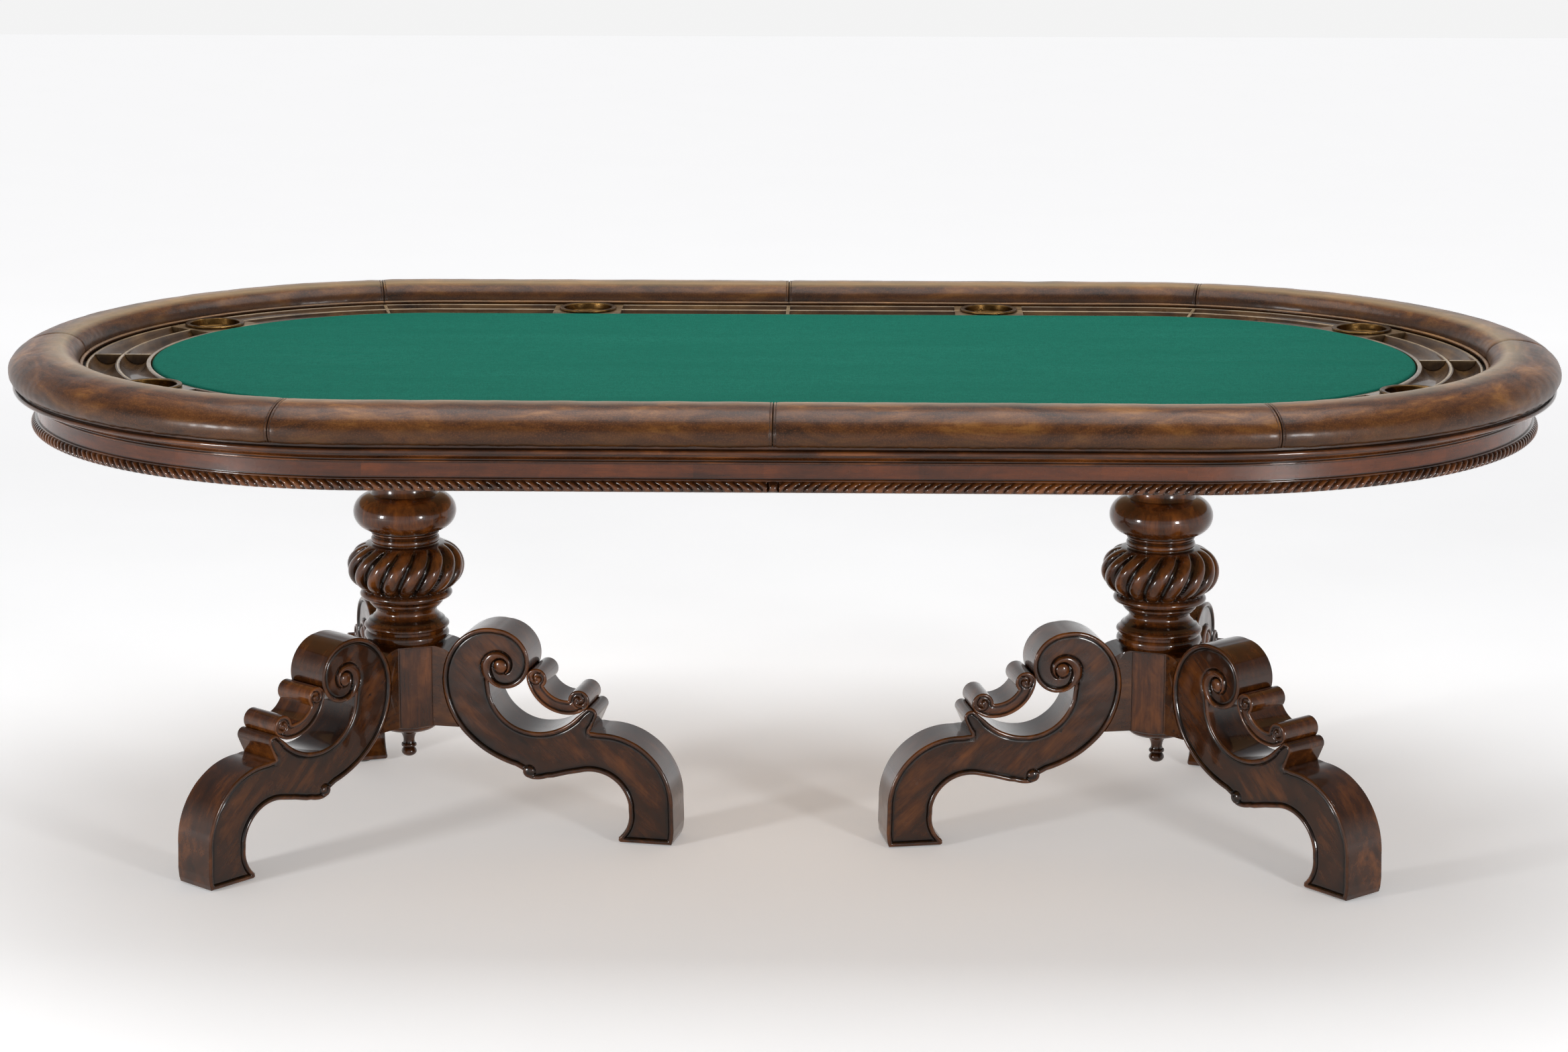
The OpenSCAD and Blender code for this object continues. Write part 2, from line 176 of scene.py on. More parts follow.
def poly(*runs):
    """One outline from runs of points, without the doubles where they meet."""
    p = np.concatenate([np.atleast_2d(np.asarray(r, float)) for r in runs])
    keep = np.linalg.norm(p - np.roll(p, 1, 0), axis=1) > 1e-4
    return p[keep]


def spaced(p, n):
    """n points at even distances along an open line."""
    d = np.concatenate([[0], np.cumsum(np.linalg.norm(np.diff(p, axis=0), axis=1))])
    t = np.linspace(0, d[-1], n)
    return np.stack([np.interp(t, d, p[:, k]) for k in range(p.shape[1])], 1)


def closed_in_steps(p, step):
    """A closed outline whose long edges are cut up, with its corners kept."""
    out = []
    for a, b in zip(p, np.roll(p, -1, 0)):
        n = max(1, math.ceil(np.linalg.norm(b - a) / step))
        out += [a + (b - a) * i / n for i in range(n)]
    return np.array(out)


def bell(x, width):
    """1 at 0, falling smoothly to nothing at about twice the width."""
    return np.exp(-((x / width) ** 2))


def dome(x):
    """The height of a half circle: 1 at 0, and 0 at -1 and 1 and past them."""
    return np.sqrt(np.clip(1 - x**2, 0, 1))


def grid(n, m, wrap_n, wrap_m):
    """The faces between n rows of m points."""
    rows, columns = np.arange(n if wrap_n else n - 1), np.arange(m if wrap_m else m - 1)
    i, j = np.meshgrid(rows, columns, indexing="ij")
    i2, j2 = (i + 1) % n, (j + 1) % m
    return np.stack([i * m + j, i2 * m + j, i2 * m + j2, i * m + j2], -1).reshape(-1, 4).tolist()


def sleeve(n, m):
    """The faces of n rings of m points, with both ends closed."""
    return grid(n, m, False, True) + [list(range(m)), list(range((n - 1) * m, n * m))[::-1]]


def spread(grain, extra, shape):
    """The attributes of a grid of points, with its grain in metres."""
    rest = {k: np.broadcast_to(x, shape).ravel() for k, x in extra.items()}
    return {"grain": grain.reshape(-1, 3) * 0.001, **rest}


def warped(profile, n, warp, *where):
    """The radii and heights of n copies of a profile, as warp changes them, and its attributes."""
    r, z = np.tile(profile[:, 0], (n, 1)), np.tile(profile[:, 1], (n, 1))
    return warp(r, z, *where) if warp else (r, z, {})


def place(s, r):
    """X and Y of the places s at radius r, in the quarter where both are positive."""
    th = np.pi / 2 - np.maximum(s - A, 0) / R_MID
    return np.minimum(s, A) + r * np.cos(th), r * np.sin(th)


def ring_stations(step):
    """Stations all round the table: their places, signs, and distance run from the middle of the back."""
    n1, n2 = math.ceil(A / step), math.ceil((QUARTER - A) / step)
    q = np.concatenate([np.linspace(0, A, n1, endpoint=False), np.linspace(A, QUARTER, n2 + 1)])
    there, back = q[:-1], q[:0:-1]
    s = np.concatenate([there, back, there, back])
    n = len(there)
    sx = np.repeat([1, 1, -1, -1], n)
    sy = np.repeat([1, -1, -1, 1], n)
    run = np.concatenate([there, 2 * QUARTER - back, 2 * QUARTER + there, 4 * QUARTER - back])
    return s, sx, sy, run


def ring(profile, step, warp=None):
    """A closed profile of radius and height swept all round the table."""
    s, sx, sy, run = ring_stations(step)
    r, z, extra = warped(profile, len(s), warp, s[:, None], run[:, None])
    x, y = place(s[:, None], r)
    v = np.stack([x * sx[:, None], y * sy[:, None], z], -1).reshape(-1, 3)
    grain = np.stack([np.broadcast_to(run[:, None], r.shape), r, z], -1)
    return v, grid(*r.shape, True, True), spread(grain, extra, r.shape)


def stretch(profile, s, sx, sy, warp=None):
    """A closed profile swept over the places s of one quarter, with closed ends."""
    s = np.broadcast_to(s[:, None], (len(s), len(profile)))
    r, z, extra = warped(profile, len(s), warp, s)
    x, y = place(s, r)
    v = np.stack([x * sx, y * sy, z], -1).reshape(-1, 3)
    grain = np.stack([s + sx * 3000 + sy * 7000, r, z], -1)
    return v, sleeve(*r.shape), spread(grain, extra, r.shape)


def steps(s0, s1, step):
    """Places from s0 to s1 about step apart, one of them where the straight side ends."""
    inner = [c for c in (A,) if s0 < c < s1]
    ends = [s0, *inner, s1]
    out = [np.linspace(a, b, max(2, math.ceil((b - a) / step) + 1))[:-1] for a, b in zip(ends, ends[1:])]
    return np.concatenate([*out, [s1]])


def lathe(profile, centre, n, warp=None, closed=True):
    """A profile turned about an upright axis. One that isn't closed starts and ends on the axis."""
    phi = np.linspace(0, 2 * np.pi, n, endpoint=False)[:, None]
    r, z, extra = warped(profile, n, warp, phi)
    dx, dy = r * np.cos(phi), r * np.sin(phi)
    v = np.stack([centre[0] + dx, centre[1] + dy, z], -1).reshape(-1, 3)
    grain = np.stack([z, dx + centre[0], dy], -1)
    return v, grid(*r.shape, True, closed), spread(grain, extra, r.shape)


def tube(points, radii, sides):
    """A capped tube along a line, of a radius for each point."""
    p = np.asarray(points, float)
    t = np.gradient(p, axis=0)
    t /= np.linalg.norm(t, axis=1)[:, None]
    up = np.array([0.0, 0.0, 1.0]) if abs(t[0][2]) < 0.9 else np.array([1.0, 0.0, 0.0])
    a = np.linspace(0, 2 * np.pi, sides, endpoint=False)[:, None]
    rows = []
    for c, d, r in zip(p, t, radii):
        u = np.cross(d, up)
        u /= np.linalg.norm(u)
        w = np.cross(u, d)
        rows.append(c + r * (np.cos(a) * u + np.sin(a) * w))
    v = np.concatenate(rows)
    return v, sleeve(len(p), sides), {"grain": v * 0.001}


def waves(count, longest, shortest, seed):
    """A smooth random surface about 1 high: count sines with wavelengths between the two."""
    r = np.random.default_rng(seed)
    k = 2 * np.pi / np.exp(r.uniform(np.log(shortest), np.log(longest), count))
    a = r.uniform(0, 2 * np.pi, count)
    p = r.uniform(0, 2 * np.pi, count)
    h = r.uniform(0.4, 1.0, count)
    h /= np.sqrt((h**2).sum() / 2)

    def f(x, y):
        return sum(hi * np.sin(ki * (np.cos(ai) * x + np.sin(ai) * y) + pi)
                   for hi, ki, ai, pi in zip(h, k, a, p))

    return f


# ---------- materials ----------
def lin(r, g, b):
    """A colour from its usual 0 to 255 values."""
    c = np.array([r, g, b]) / 255.0
    return (*np.where(c <= 0.04045, c / 12.92, ((c + 0.055) / 1.055) ** 2.4).tolist(), 1.0)


class Finish:
    """A principled material built by short calls."""

    def __init__(self, name):
        self.m = bpy.data.materials.new(name)
        self.m.use_nodes = True
        self.t = self.m.node_tree
        self.b = next(n for n in self.t.nodes if n.type == "BSDF_PRINCIPLED")

    def add(self, kind, ins=None, **props):
        n = self.t.nodes.new(kind)
        for k, x in props.items():
            setattr(n, k, x)
        for k, x in (ins or {}).items():
            if isinstance(x, bpy.types.NodeSocket):
                self.t.links.new(x, n.inputs[k])
            else:
                n.inputs[k].default_value = x
        return n

    def set(self, **values):
        for k, x in values.items():
            socket = self.b.inputs[k.replace("_", " ")]
            if isinstance(x, bpy.types.NodeSocket):
                self.t.links.new(x, socket)
            else:
                socket.default_value = x
        return self.m

    def coords(self, attribute=None):
        if attribute:
            return self.add("ShaderNodeAttribute", attribute_name=attribute).outputs["Vector"]
        return self.add("ShaderNodeTexCoord").outputs["Object"]

    def value(self, attribute):
        return self.add("ShaderNodeAttribute", attribute_name=attribute).outputs["Fac"]

    def mapped(self, v, scale):
        return self.add("ShaderNodeMapping", {"Vector": v, "Scale": scale}).outputs[0]

    def noise(self, v, scale, detail=3, rough=0.55, distort=0.0):
        ins = {"Vector": v, "Scale": scale, "Detail": detail, "Roughness": rough, "Distortion": distort}
        return self.add("ShaderNodeTexNoise", ins).outputs["Fac"]

    def cells(self, v, scale):
        return self.add("ShaderNodeTexVoronoi", {"Vector": v, "Scale": scale}).outputs["Distance"]

    def ramp(self, x, *stops):
        n = self.add("ShaderNodeValToRGB", {"Fac": x})
        e = n.color_ramp.elements
        while len(e) < len(stops):
            e.new(0.5)
        for el, (p, c) in zip(e, stops):
            el.position = p
            el.color = c if hasattr(c, "__len__") else (c, c, c, 1)
        return n.outputs["Color"]

    def span(self, x, a, b, lo=0.0, hi=1.0):
        return self.add("ShaderNodeMapRange", {0: x, 1: a, 2: b, 3: lo, 4: hi}).outputs[0]

    def mix(self, f, a, b):
        ins = {0: f, 6: a, 7: b}
        return self.add("ShaderNodeMix", ins, data_type="RGBA").outputs[2]

    def calc(self, op, a, b=0.0, clamp=False):
        n = self.add("ShaderNodeMath", {0: a, 1: b}, operation=op)
        n.use_clamp = clamp
        return n.outputs[0]

    def times(self, a, b, clamp=False):
        return self.calc("MULTIPLY", a, b, clamp)

    def plus(self, a, b):
        return self.calc("ADD", a, b)

    def bump(self, h, depth_mm, strength=1.0, under=None):
        ins = {"Height": h, "Distance": depth_mm * 0.001, "Strength": strength}
        if under is not None:
            ins["Normal"] = under
        return self.add("ShaderNodeBump", ins).outputs[0]


def wood(name, grained, dark, mid, light, rough=0.2, gloss=1.0, rubbed=(122, 72, 34), blocks=0.0):
    """Glazed and lacquered wood, from its colours in the dark, middle and light figure.

    The figure follows the piece's own grain if grained, else the frame's X. rubbed is the colour
    where it is worn, and blocks is how far neighbouring lengths of veneer differ in tone.
    """
    f = Finish(name)
    v = f.coords("grain" if grained else None)
    blotch = f.noise(f.mapped(v, (4, 9, 9)), 2.4, 5, 0.62, 0.5)
    figure = f.noise(f.mapped(v, (9, 90, 90)), 1.0, 5, 0.6, 0.5)
    pores = f.noise(f.mapped(v, (40, 1100, 1100)), 1.0, 3, 0.6)
    tone = f.plus(f.times(blotch, 0.66), f.times(figure, 0.34))
    if blocks:
        along = f.add("ShaderNodeSeparateXYZ", {0: v}).outputs[0]
        cell = f.add("ShaderNodeTexVoronoi", {"W": along, "Scale": 9.0}, voronoi_dimensions="1D")
        pick = f.add("ShaderNodeSeparateColor", {0: cell.outputs["Color"]}).outputs[0]
        tone = f.plus(tone, f.times(f.calc("SUBTRACT", pick, 0.5), blocks))
    col = f.ramp(tone, (0.34, lin(*dark)), (0.5, lin(*mid)), (0.66, lin(*light)))
    col = f.mix(f.span(pores, 0.52, 0.66, 0.0, 0.4), col, lin(22, 11, 5))
    # worm marks and specks
    marks = f.span(f.cells(f.mapped(v, (9, 23, 23)), 1.6), 0.05, 0.11, 1.0, 0.0)
    marks = f.times(marks, f.span(f.noise(v, 60, 2), 0.5, 0.56), True)
    specks = f.span(f.cells(v, 150), 0.04, 0.09, 1.0, 0.0)
    specks = f.times(specks, f.span(f.noise(v, 14, 3), 0.56, 0.66), True)
    flaws = f.calc("MAXIMUM", marks, specks)
    col = f.mix(f.times(flaws, 0.8), col, lin(10, 5, 3))
    if grained:
        wear = f.times(f.value("worn"), f.span(blotch, 0.35, 0.65, 0.3, 1.0))
        col = f.mix(wear, col, lin(*rubbed))
        patchy = f.span(f.noise(v, 90, 3), 0.3, 0.7, 0.8, 1.1)
        # darkest where a piece marks dark glaze and painted shade in its recesses and under its overhangs
        col = f.mix(f.times(f.value("glaze"), patchy, True), col, lin(8, 5, 3))
    height = f.calc("SUBTRACT", f.times(pores, 0.2), f.times(flaws, 1.6))
    n = f.bump(height, 0.25, 0.5)
    n = f.bump(f.noise(v, 26, 2), 0.7, 0.18, n)
    r = f.span(f.noise(v, 34, 4), 0.3, 0.7, rough - 0.06, rough + 0.08)
    return f.set(Base_Color=col, Roughness=r, Normal=n, Specular_IOR_Level=0.2,
                 Coat_Weight=0.5 * gloss, Coat_Roughness=0.05)


LACQUER = wood("lacquered_wood_carved", True, (26, 11, 2), (62, 30, 7), (104, 57, 19))
RED_LACQUER = wood("lacquered_wood_frieze", True, (48, 19, 2), (74, 32, 4), (96, 44, 8), 0.26, blocks=0.1)
RACK_WOOD = wood("lacquered_wood_rack", True, (40, 25, 13), (78, 54, 30), (116, 86, 52), 0.3, 0.8,
                 rubbed=(186, 162, 126))
HUB_WOOD = wood("lacquered_wood_hub", False, (26, 12, 2), (54, 27, 6), (86, 48, 14))


def plywood():
    f = Finish("plywood")
    v = f.coords()
    figure = f.noise(f.mapped(v, (3, 40, 40)), 1.2, 5, 0.6, 1.0)
    layers = f.noise(f.mapped(v, (1, 1, 420)), 1.0, 1)
    deep = lin(150, 112, 70)
    col = f.ramp(figure, (0.3, deep), (0.7, lin(196, 160, 112)))
    col = f.mix(f.span(layers, 0.45, 0.55, 0.0, 0.35), col, deep)
    rough = f.span(figure, 0.3, 0.7, 0.55, 0.75)
    return f.set(Base_Color=col, Roughness=rough, Normal=f.bump(figure, 0.3, 0.5))


PLY = plywood()


def leather_finish():
    """Antiqued leather: clouded, with painted shade at its feet, dark seam lines with painted shade in their
    creases, and a painted highlight along the crest.
    """
    f = Finish("leather")
    v = f.coords("grain")
    o = f.coords()
    across = f.value("across")
    cloud = f.noise(f.mapped(v, (5, 12, 12)), 1.5, 5, 0.62, 0.8)
    smear = f.noise(f.mapped(v, (14, 40, 40)), 1.0, 4, 0.65, 1.5)
    tone = f.plus(f.times(cloud, 0.62), f.times(smear, 0.38))
    col = f.ramp(tone, (0.36, lin(30, 14, 3)), (0.46, lin(76, 40, 11)),
                 (0.55, lin(110, 64, 20)), (0.64, lin(150, 98, 42)))
    speckle = f.noise(o, 420, 3, 0.7)
    col = f.mix(f.span(speckle, 0.5, 0.68, 0.0, 0.3), col, lin(156, 98, 56))
    col = f.mix(f.span(speckle, 0.5, 0.34, 0.0, 0.3), col, lin(44, 28, 18))
    # painted shade: darker towards the inner foot and under the outer roll
    feet = f.ramp(across, (0.0, 1.0), (0.14, 0.7), (0.28, 0.15), (0.34, 0.0), (0.64, 0.1), (0.84, 0.66),
                  (1.0, 0.95))
    col = f.mix(f.times(feet, f.span(smear, 0.3, 0.6, 0.6, 1.0)), col, lin(30, 19, 9))
    # painted highlight: a pale band along the crest
    crest = f.ramp(across, (0.24, 0.0), (0.31, 0.52), (0.38, 0.36), (0.52, 0.0))
    col = f.mix(crest, col, lin(186, 164, 128))
    # the dark seam line, with painted shade in the creases pressed along the seam and its stitch rows
    col = f.mix(f.times(f.value("seam"), 0.85), col, lin(34, 23, 17))
    pebble = f.cells(o, 760)
    fine = f.noise(o, 1900, 2)
    n = f.bump(f.plus(pebble, f.times(fine, 0.5)), 0.12, 0.35)
    n = f.bump(f.noise(v, 48, 3, 0.6, 0.6), 1.0, 0.12, n)
    r = f.span(cloud, 0.3, 0.7, 0.46, 0.34)
    return f.set(Base_Color=col, Roughness=r, Normal=n, Specular_IOR_Level=0.18,
                 Coat_Weight=0.22, Coat_Roughness=0.2)


LEATHER = leather_finish()


def felt_finish():
    f = Finish("felt_cloth")
    v = f.coords()
    thread = f.noise(f.mapped(v, (60, 700, 700)), 1.0, 3, 0.6)
    cross = f.noise(f.mapped(v, (700, 90, 700)), 1.0, 3, 0.6)
    broad = f.noise(f.mapped(v, (2.2, 16, 16)), 1.0, 3, 0.5)
    col = f.ramp(broad, (0.3, lin(22, 114, 94)), (0.7, lin(34, 126, 106)))
    weave = f.plus(thread, cross)
    col = f.mix(f.span(weave, 0.8, 1.2, 0.0, 0.55), lin(14, 94, 78), col)
    fuzz = f.noise(v, 2400, 2)
    n = f.bump(f.plus(weave, f.times(fuzz, 0.7)), 0.3, 0.4)
    rough = f.span(fuzz, 0.3, 0.7, 0.85, 1.0)
    return f.set(Base_Color=col, Roughness=rough, Normal=n, Specular_IOR_Level=0.08)


FELT = felt_finish()


def brass_finish():
    f = Finish("antique_brass")
    v = f.coords()
    spun = f.noise(f.mapped(v, (30, 30, 2600)), 1.0, 2)
    stain = f.noise(v, 46, 4, 0.6, 0.4)
    col = f.ramp(stain, (0.35, lin(74, 54, 28)), (0.55, lin(120, 90, 50)), (0.75, lin(156, 122, 72)))
    col = f.mix(f.span(f.noise(v, 190, 3), 0.55, 0.7, 0.0, 0.6), col, lin(66, 47, 26))
    r = f.plus(f.span(stain, 0.3, 0.7, 0.3, 0.2), f.times(spun, 0.1))
    return f.set(Base_Color=col, Metallic=1.0, Roughness=r, Normal=f.bump(spun, 0.05, 0.4), Anisotropic=0.3)


BRASS = brass_finish()


def small_finish(name, a, b, scale, rough, metal=0.0, depth=0.2):
    """A finish mottled between two colours, for small and hidden pieces."""
    f = Finish(name)
    n = f.noise(f.coords(), scale, 4, 0.6)
    col = f.ramp(n, (0.3, a), (0.7, b))
    rough = f.span(n, 0.3, 0.7, rough, rough + 0.15)
    return f.set(Base_Color=col, Roughness=rough, Metallic=metal, Normal=f.bump(n, depth, 0.4))


STEEL = small_finish("steel", lin(120, 120, 122), lin(176, 176, 178), 300, 0.3, 1.0, 0.03)
FOAM = small_finish("foam", lin(206, 196, 160), lin(226, 218, 186), 900, 0.85)
BRAID = small_finish("braid", lin(20, 16, 12), lin(70, 58, 40), 500, 0.32)
THREAD = small_finish("thread", lin(38, 24, 16), lin(66, 44, 30), 900, 0.6)
GLIDE = small_finish("glide_felt", lin(60, 56, 50), lin(84, 80, 72), 1400, 0.9)


# ---------- leather rail ----------
# how far the cushion falls from its crest to its inner foot and to its widest, and its turn under
FALL_IN, FALL_OUT, TUCK, TUCK_FALL = 28, 35, 13, 18


def cushion(t, n):
    """n points of the rail's section, from its inner foot over the crest, t under its surface."""
    inner = arc((R_MID, CREST - FALL_IN), RAIL_IN - t, 180, 90, rz=FALL_IN - t)
    outer = arc((R_MID, CREST - FALL_OUT), RAIL_OUT - t, 81, 0, rz=FALL_OUT - t)
    under = arc((RO - TUCK, CREST - FALL_OUT), TUCK - t, -10, -90, rz=TUCK_FALL - t)
    return spaced(poly([[FOOT_IN + t, BASE1]], inner, outer, under), n)


PANEL_N = 46
OUTER = cushion(0, PANEL_N)
TANGENT = np.gradient(OUTER, axis=0)
TANGENT /= np.linalg.norm(TANGENT, axis=1)[:, None]
NORMAL = np.stack([-TANGENT[:, 1], TANGENT[:, 0]], 1)
NORMAL *= np.sign((NORMAL * (OUTER - [R_MID, CREST - 40])).sum(1))[:, None]
ALONG_PROFILE = np.concatenate([[0], np.cumsum(np.linalg.norm(np.diff(OUTER, axis=0), axis=1))])
GIRTH = ALONG_PROFILE[-1]
LEATHER_T = 2.4
# distances from a seam where its pressed shape needs points, then the even spacing between
NEAR_SEAM = [0, 0.3, 0.6, 1.0, 1.5, 2.1, 2.8, 3.3, 3.7, 4.1, 4.5, 5.1, 6.0, 7.2, 8.8, 11, 14, 18, 23, 29]
PANEL_STEP = 5.0
# the rows of stitches are this far from the seam, and their holes this far apart
STITCH_D, STITCH_GAP, STITCH_HALF = 3.9, 7.5, 2.7


def seam_depth(d):
    """How far the leather is pulled in at distance d from a seam."""
    return (1.9 * bell(d, 0.6) + 0.7 * bell(d - STITCH_D, 0.7) - 0.35 * bell(d - 2.0, 0.9) + 0.7 * bell(d, 9))


def rail_panel(k):
    """One seat's leather, sewn to its neighbours, slack between the seams and puckered at its feet."""
    end, sx, sy = SEATS[k]
    s0, s1 = (SEAM_S, QUARTER) if end else (0.0, SEAM_S)
    edge = np.array(NEAR_SEAM) + 0.15
    middle = np.arange(s0 + 34, s1 - 33, PANEL_STEP)
    s = np.concatenate([s0 + edge, middle, (s1 - edge)[::-1]])
    soft, fine = waves(14, 190, 50, 20 + k), waves(16, 40, 13, 40 + k)
    first_scale = 1.0 if s0 == 0 else OUTER[:, 0] / R_MID
    d = np.minimum((s[:, None] - s0) * first_scale, (s1 - s[:, None]) * OUTER[:, 0] / R_MID)
    u = ALONG_PROFILE[None, :]
    feet = np.exp(-u / 16) + np.exp(-(GIRTH - u) / 16)
    lift = 0.16 * soft(s[:, None], u) + (0.05 + 0.3 * feet) * fine(s[:, None] * 1.7, u * 0.5)
    lift = lift * (1 - bell(d, 6)) - seam_depth(d)
    lift += 0.16 * np.cos(2 * np.pi * u / STITCH_GAP) * bell(d - STITCH_D, 2.2)
    skin = OUTER[None] + NORMAL[None] * np.minimum(lift, 0.9)[..., None]
    back = OUTER[None] - NORMAL[None] * (LEATHER_T + seam_depth(d) * 0.5)[..., None]
    loop = np.concatenate([skin, back[:, ::-1]], 1)
    n, m = loop.shape[:2]
    x, y = place(s[:, None], loop[..., 0])
    v = np.stack([x * sx, y * sy, loop[..., 1]], -1).reshape(-1, 3)
    f = grid(n, m, False, True)
    for j in range(PANEL_N - 1):
        f.append([j, j + 1, m - 2 - j, m - 1 - j])
    for j in range(PANEL_N - 1):
        i = (n - 1) * m + j
        f.append([i, i + 1, n * m - 2 - j, n * m - 1 - j][::-1])
    share = np.broadcast_to(np.concatenate([ALONG_PROFILE, ALONG_PROFILE[::-1]]) / GIRTH, (n, m))
    dd = np.concatenate([d, d[:, ::-1]], 1)
    # the dark seam line, with painted shade spreading from it and in the stitch channels
    seam = bell(dd, 0.8) + 0.4 * bell(dd - STITCH_D, 0.6) + 0.16 * np.exp(-dd / 9)
    grain = np.stack([np.broadcast_to(s[:, None], (n, m)) + 2000 * k, share * GIRTH, loop[..., 1] * 0.3], -1)
    marks = spread(grain, {"across": share, "seam": seam.clip(0, 1)}, (n, m))
    o = put(f"leather_panel_{k + 1}", (v, f, marks), LEATHER, [f"rail_panel_{k + 1}"], sharp=60)


for seat in range(8):
    rail_panel(seat)


def stitches():
    """A row of stitches on each side of every seam, sunk in the channel pressed for them."""
    parts = []
    t = np.linspace(-STITCH_HALF, STITCH_HALF, 7)
    sink = seam_depth(STITCH_D) - 0.1 + 0.8 * (t / STITCH_HALF) ** 4
    thick = 0.62 * np.sqrt(1 - 0.75 * (t / STITCH_HALF) ** 2)
    for s, sx, sy in SEAMS:
        for side in (-1, 1):
            for middle in np.arange(7, GIRTH - 5, STITCH_GAP):
                u = (middle + t).clip(0, GIRTH)
                p = np.stack([np.interp(u, ALONG_PROFILE, OUTER[:, i]) for i in (0, 1)], 1)
                out = np.stack([np.interp(u, ALONG_PROFILE, NORMAL[:, i]) for i in (0, 1)], 1)
                p = p - out * sink[:, None]
                shift = side * STITCH_D * (1.0 if s == 0 else R_MID / p[:, 0])
                x, y = place(s + shift, p[:, 0])
                line = np.stack([x * sx, y * sy, p[:, 1]], 1)
                parts.append(oriented(tube(line, thick, 6)))
    return join(parts)


put("rail_stitches", stitches(), THREAD)


FOAM_IN = 5.2
foam_foot = [[BASE_OUT - FOAM_IN, BASE1 + 0.2], [FOOT_IN + FOAM_IN, BASE1 + 0.2]]
foam_profile = poly(cushion(FOAM_IN, 30), foam_foot)
put("rail_foam_core", ring(foam_profile, 14), FOAM, ["rail_foam"])

# the welt's middle, and its radius
WELT, WELT_R = (FOOT_IN - 3.2, BASE1 + 13), 2.95


def welt_warp(r, z, s, run):
    """The welt is a little uneven, and pinched where it crosses a seam."""
    near = np.minimum(np.abs(s - SEAM_S), np.minimum(s, QUARTER - s))
    uneven = 0.035 * np.sin(run / 2.6) * np.sin(run / 47) + 0.03 * np.sin(run / 19)
    k = 1 + uneven - 0.22 * bell(near, 0.9)
    # across gives the welt's top a painted highlight and its underside painted shade
    marks = {"across": np.where(z > WELT[1] + 1, 0.45, 0.1), "seam": bell(near, 1.2)}
    return WELT[0] + (r - WELT[0]) * k, WELT[1] + (z - WELT[1]) * k + 0.25 * np.sin(run / 83), marks


put("rail_piping", ring(arc(WELT, WELT_R, 0, 342, 0.93), 2.6, welt_warp), LEATHER, ["rail_welt"])

BRAID_IN, BRAID_W, PLAIT = BASE_IN + 0.4, 5, 5.2


def braid_warp(r, z, s, run):
    """Two strands that cross, one over the other, along the top of the braid."""
    c = (r - (BASE_IN + 2.9)) / (BRAID_W / 2)
    a = np.cos(2 * np.pi * (run / PLAIT + c * 0.42))
    b = np.cos(2 * np.pi * (run / PLAIT - c * 0.42 + 0.5))
    over = np.maximum(a, b) * np.sqrt(np.clip(1 - 0.75 * c**2, 0, 1))
    return r, np.where(z > BASE1 + 1, BASE1 + 2.4 + 1.5 * over, z), {}


braid_top = [[BRAID_IN + BRAID_W * i / 8, BASE1 + 3] for i in range(9)]
braid_profile = poly([[BRAID_IN, BASE1 + 0.05]], braid_top, [[BRAID_IN + BRAID_W, BASE1 + 0.05]])
put("rail_braid", ring(braid_profile, 0.9, braid_warp), BRAID, ["rail_gimp"])


# ---------- apron, cornice and nosing ----------
def lines_of_glaze_and_shade(heights, width):
    """A warp that changes no shape, and marks dark glaze and painted shade near the given heights."""
    def f(r, z, *_):
        g = sum(bell(z - h, width) for h in heights)
        return r, z, {"glaze": np.clip(g, 0, 1), "worn": np.zeros_like(z)}
    return f


NOSE, NOSE_R = RO - 6, 3.4
base_profile = poly([[BASE_IN, BASE1], [BASE_IN, BASE0], [BASE_OUT - 3, BASE0]],
                    arc((NOSE - NOSE_R, BASE0 + 3.6), NOSE_R, -90, 90, 0.8),
                    [[BASE_OUT + 0.2, BASE0 + 7.3], [BASE_OUT - 0.6, BASE0 + 8.2], [BASE_OUT - 0.6, BASE1]])
put("rail_base_moulding", ring(base_profile, 7, lines_of_glaze_and_shade((BASE0, BASE0 + 7.6), 0.8)),
    LACQUER, ["rail_base"])

BACK = FRIEZE - 23
LIP = FRIEZE + 16
OGEE_OUT, OGEE_UP = 10.4, 8.6
ogee = [[FRIEZE + 2.2 + OGEE_OUT * (1 - math.cos(math.pi * i / 16)) / 2, CORNICE + 4.4 + OGEE_UP * i / 16]
        for i in range(17)]
cornice_profile = poly(
    [[BACK, BASE0], [BACK, CORNICE], [FRIEZE + 1.6, CORNICE]],
    arc((FRIEZE + 1.8, CORNICE + 1.7), 1.7, -80, 90, 0.6), [[FRIEZE + 2.0, CORNICE + 4.3]], ogee,
    [[LIP - 2.6, CORNICE + 13.6], [LIP - 0.3, CORNICE + 13.9], [LIP, CORNICE + 14.4]],
    [[LIP, BASE0 - 0.4], [LIP - 0.4, BASE0]])
put("cornice", ring(cornice_profile, 7, lines_of_glaze_and_shade((CORNICE + 3.9, CORNICE + 13.4, BASE0), 0.9)),
    LACQUER, ["cornice_moulding"])

frieze_face = [[FRIEZE, DECK + 0.2 + (CORNICE - DECK - 0.4) * i / 24] for i in range(25)]
frieze_profile = poly([[BACK, DECK]], frieze_face, [[BACK, CORNICE]])


def frieze(side, sx, sy):
    """A straight board where sx is 0, else a bent one."""
    s = np.linspace(A, A + R_MID * math.pi, 150) if sx else np.linspace(-A, A, 60)
    # painted shade on the frieze just under the cornice and just above the gadroon bead
    part = stretch(frieze_profile, s, sx or 1, sy, lines_of_glaze_and_shade((CORNICE, DECK + 17), 1.6))
    put(f"frieze_{side}", part, RED_LACQUER, [f"apron_{side}"])


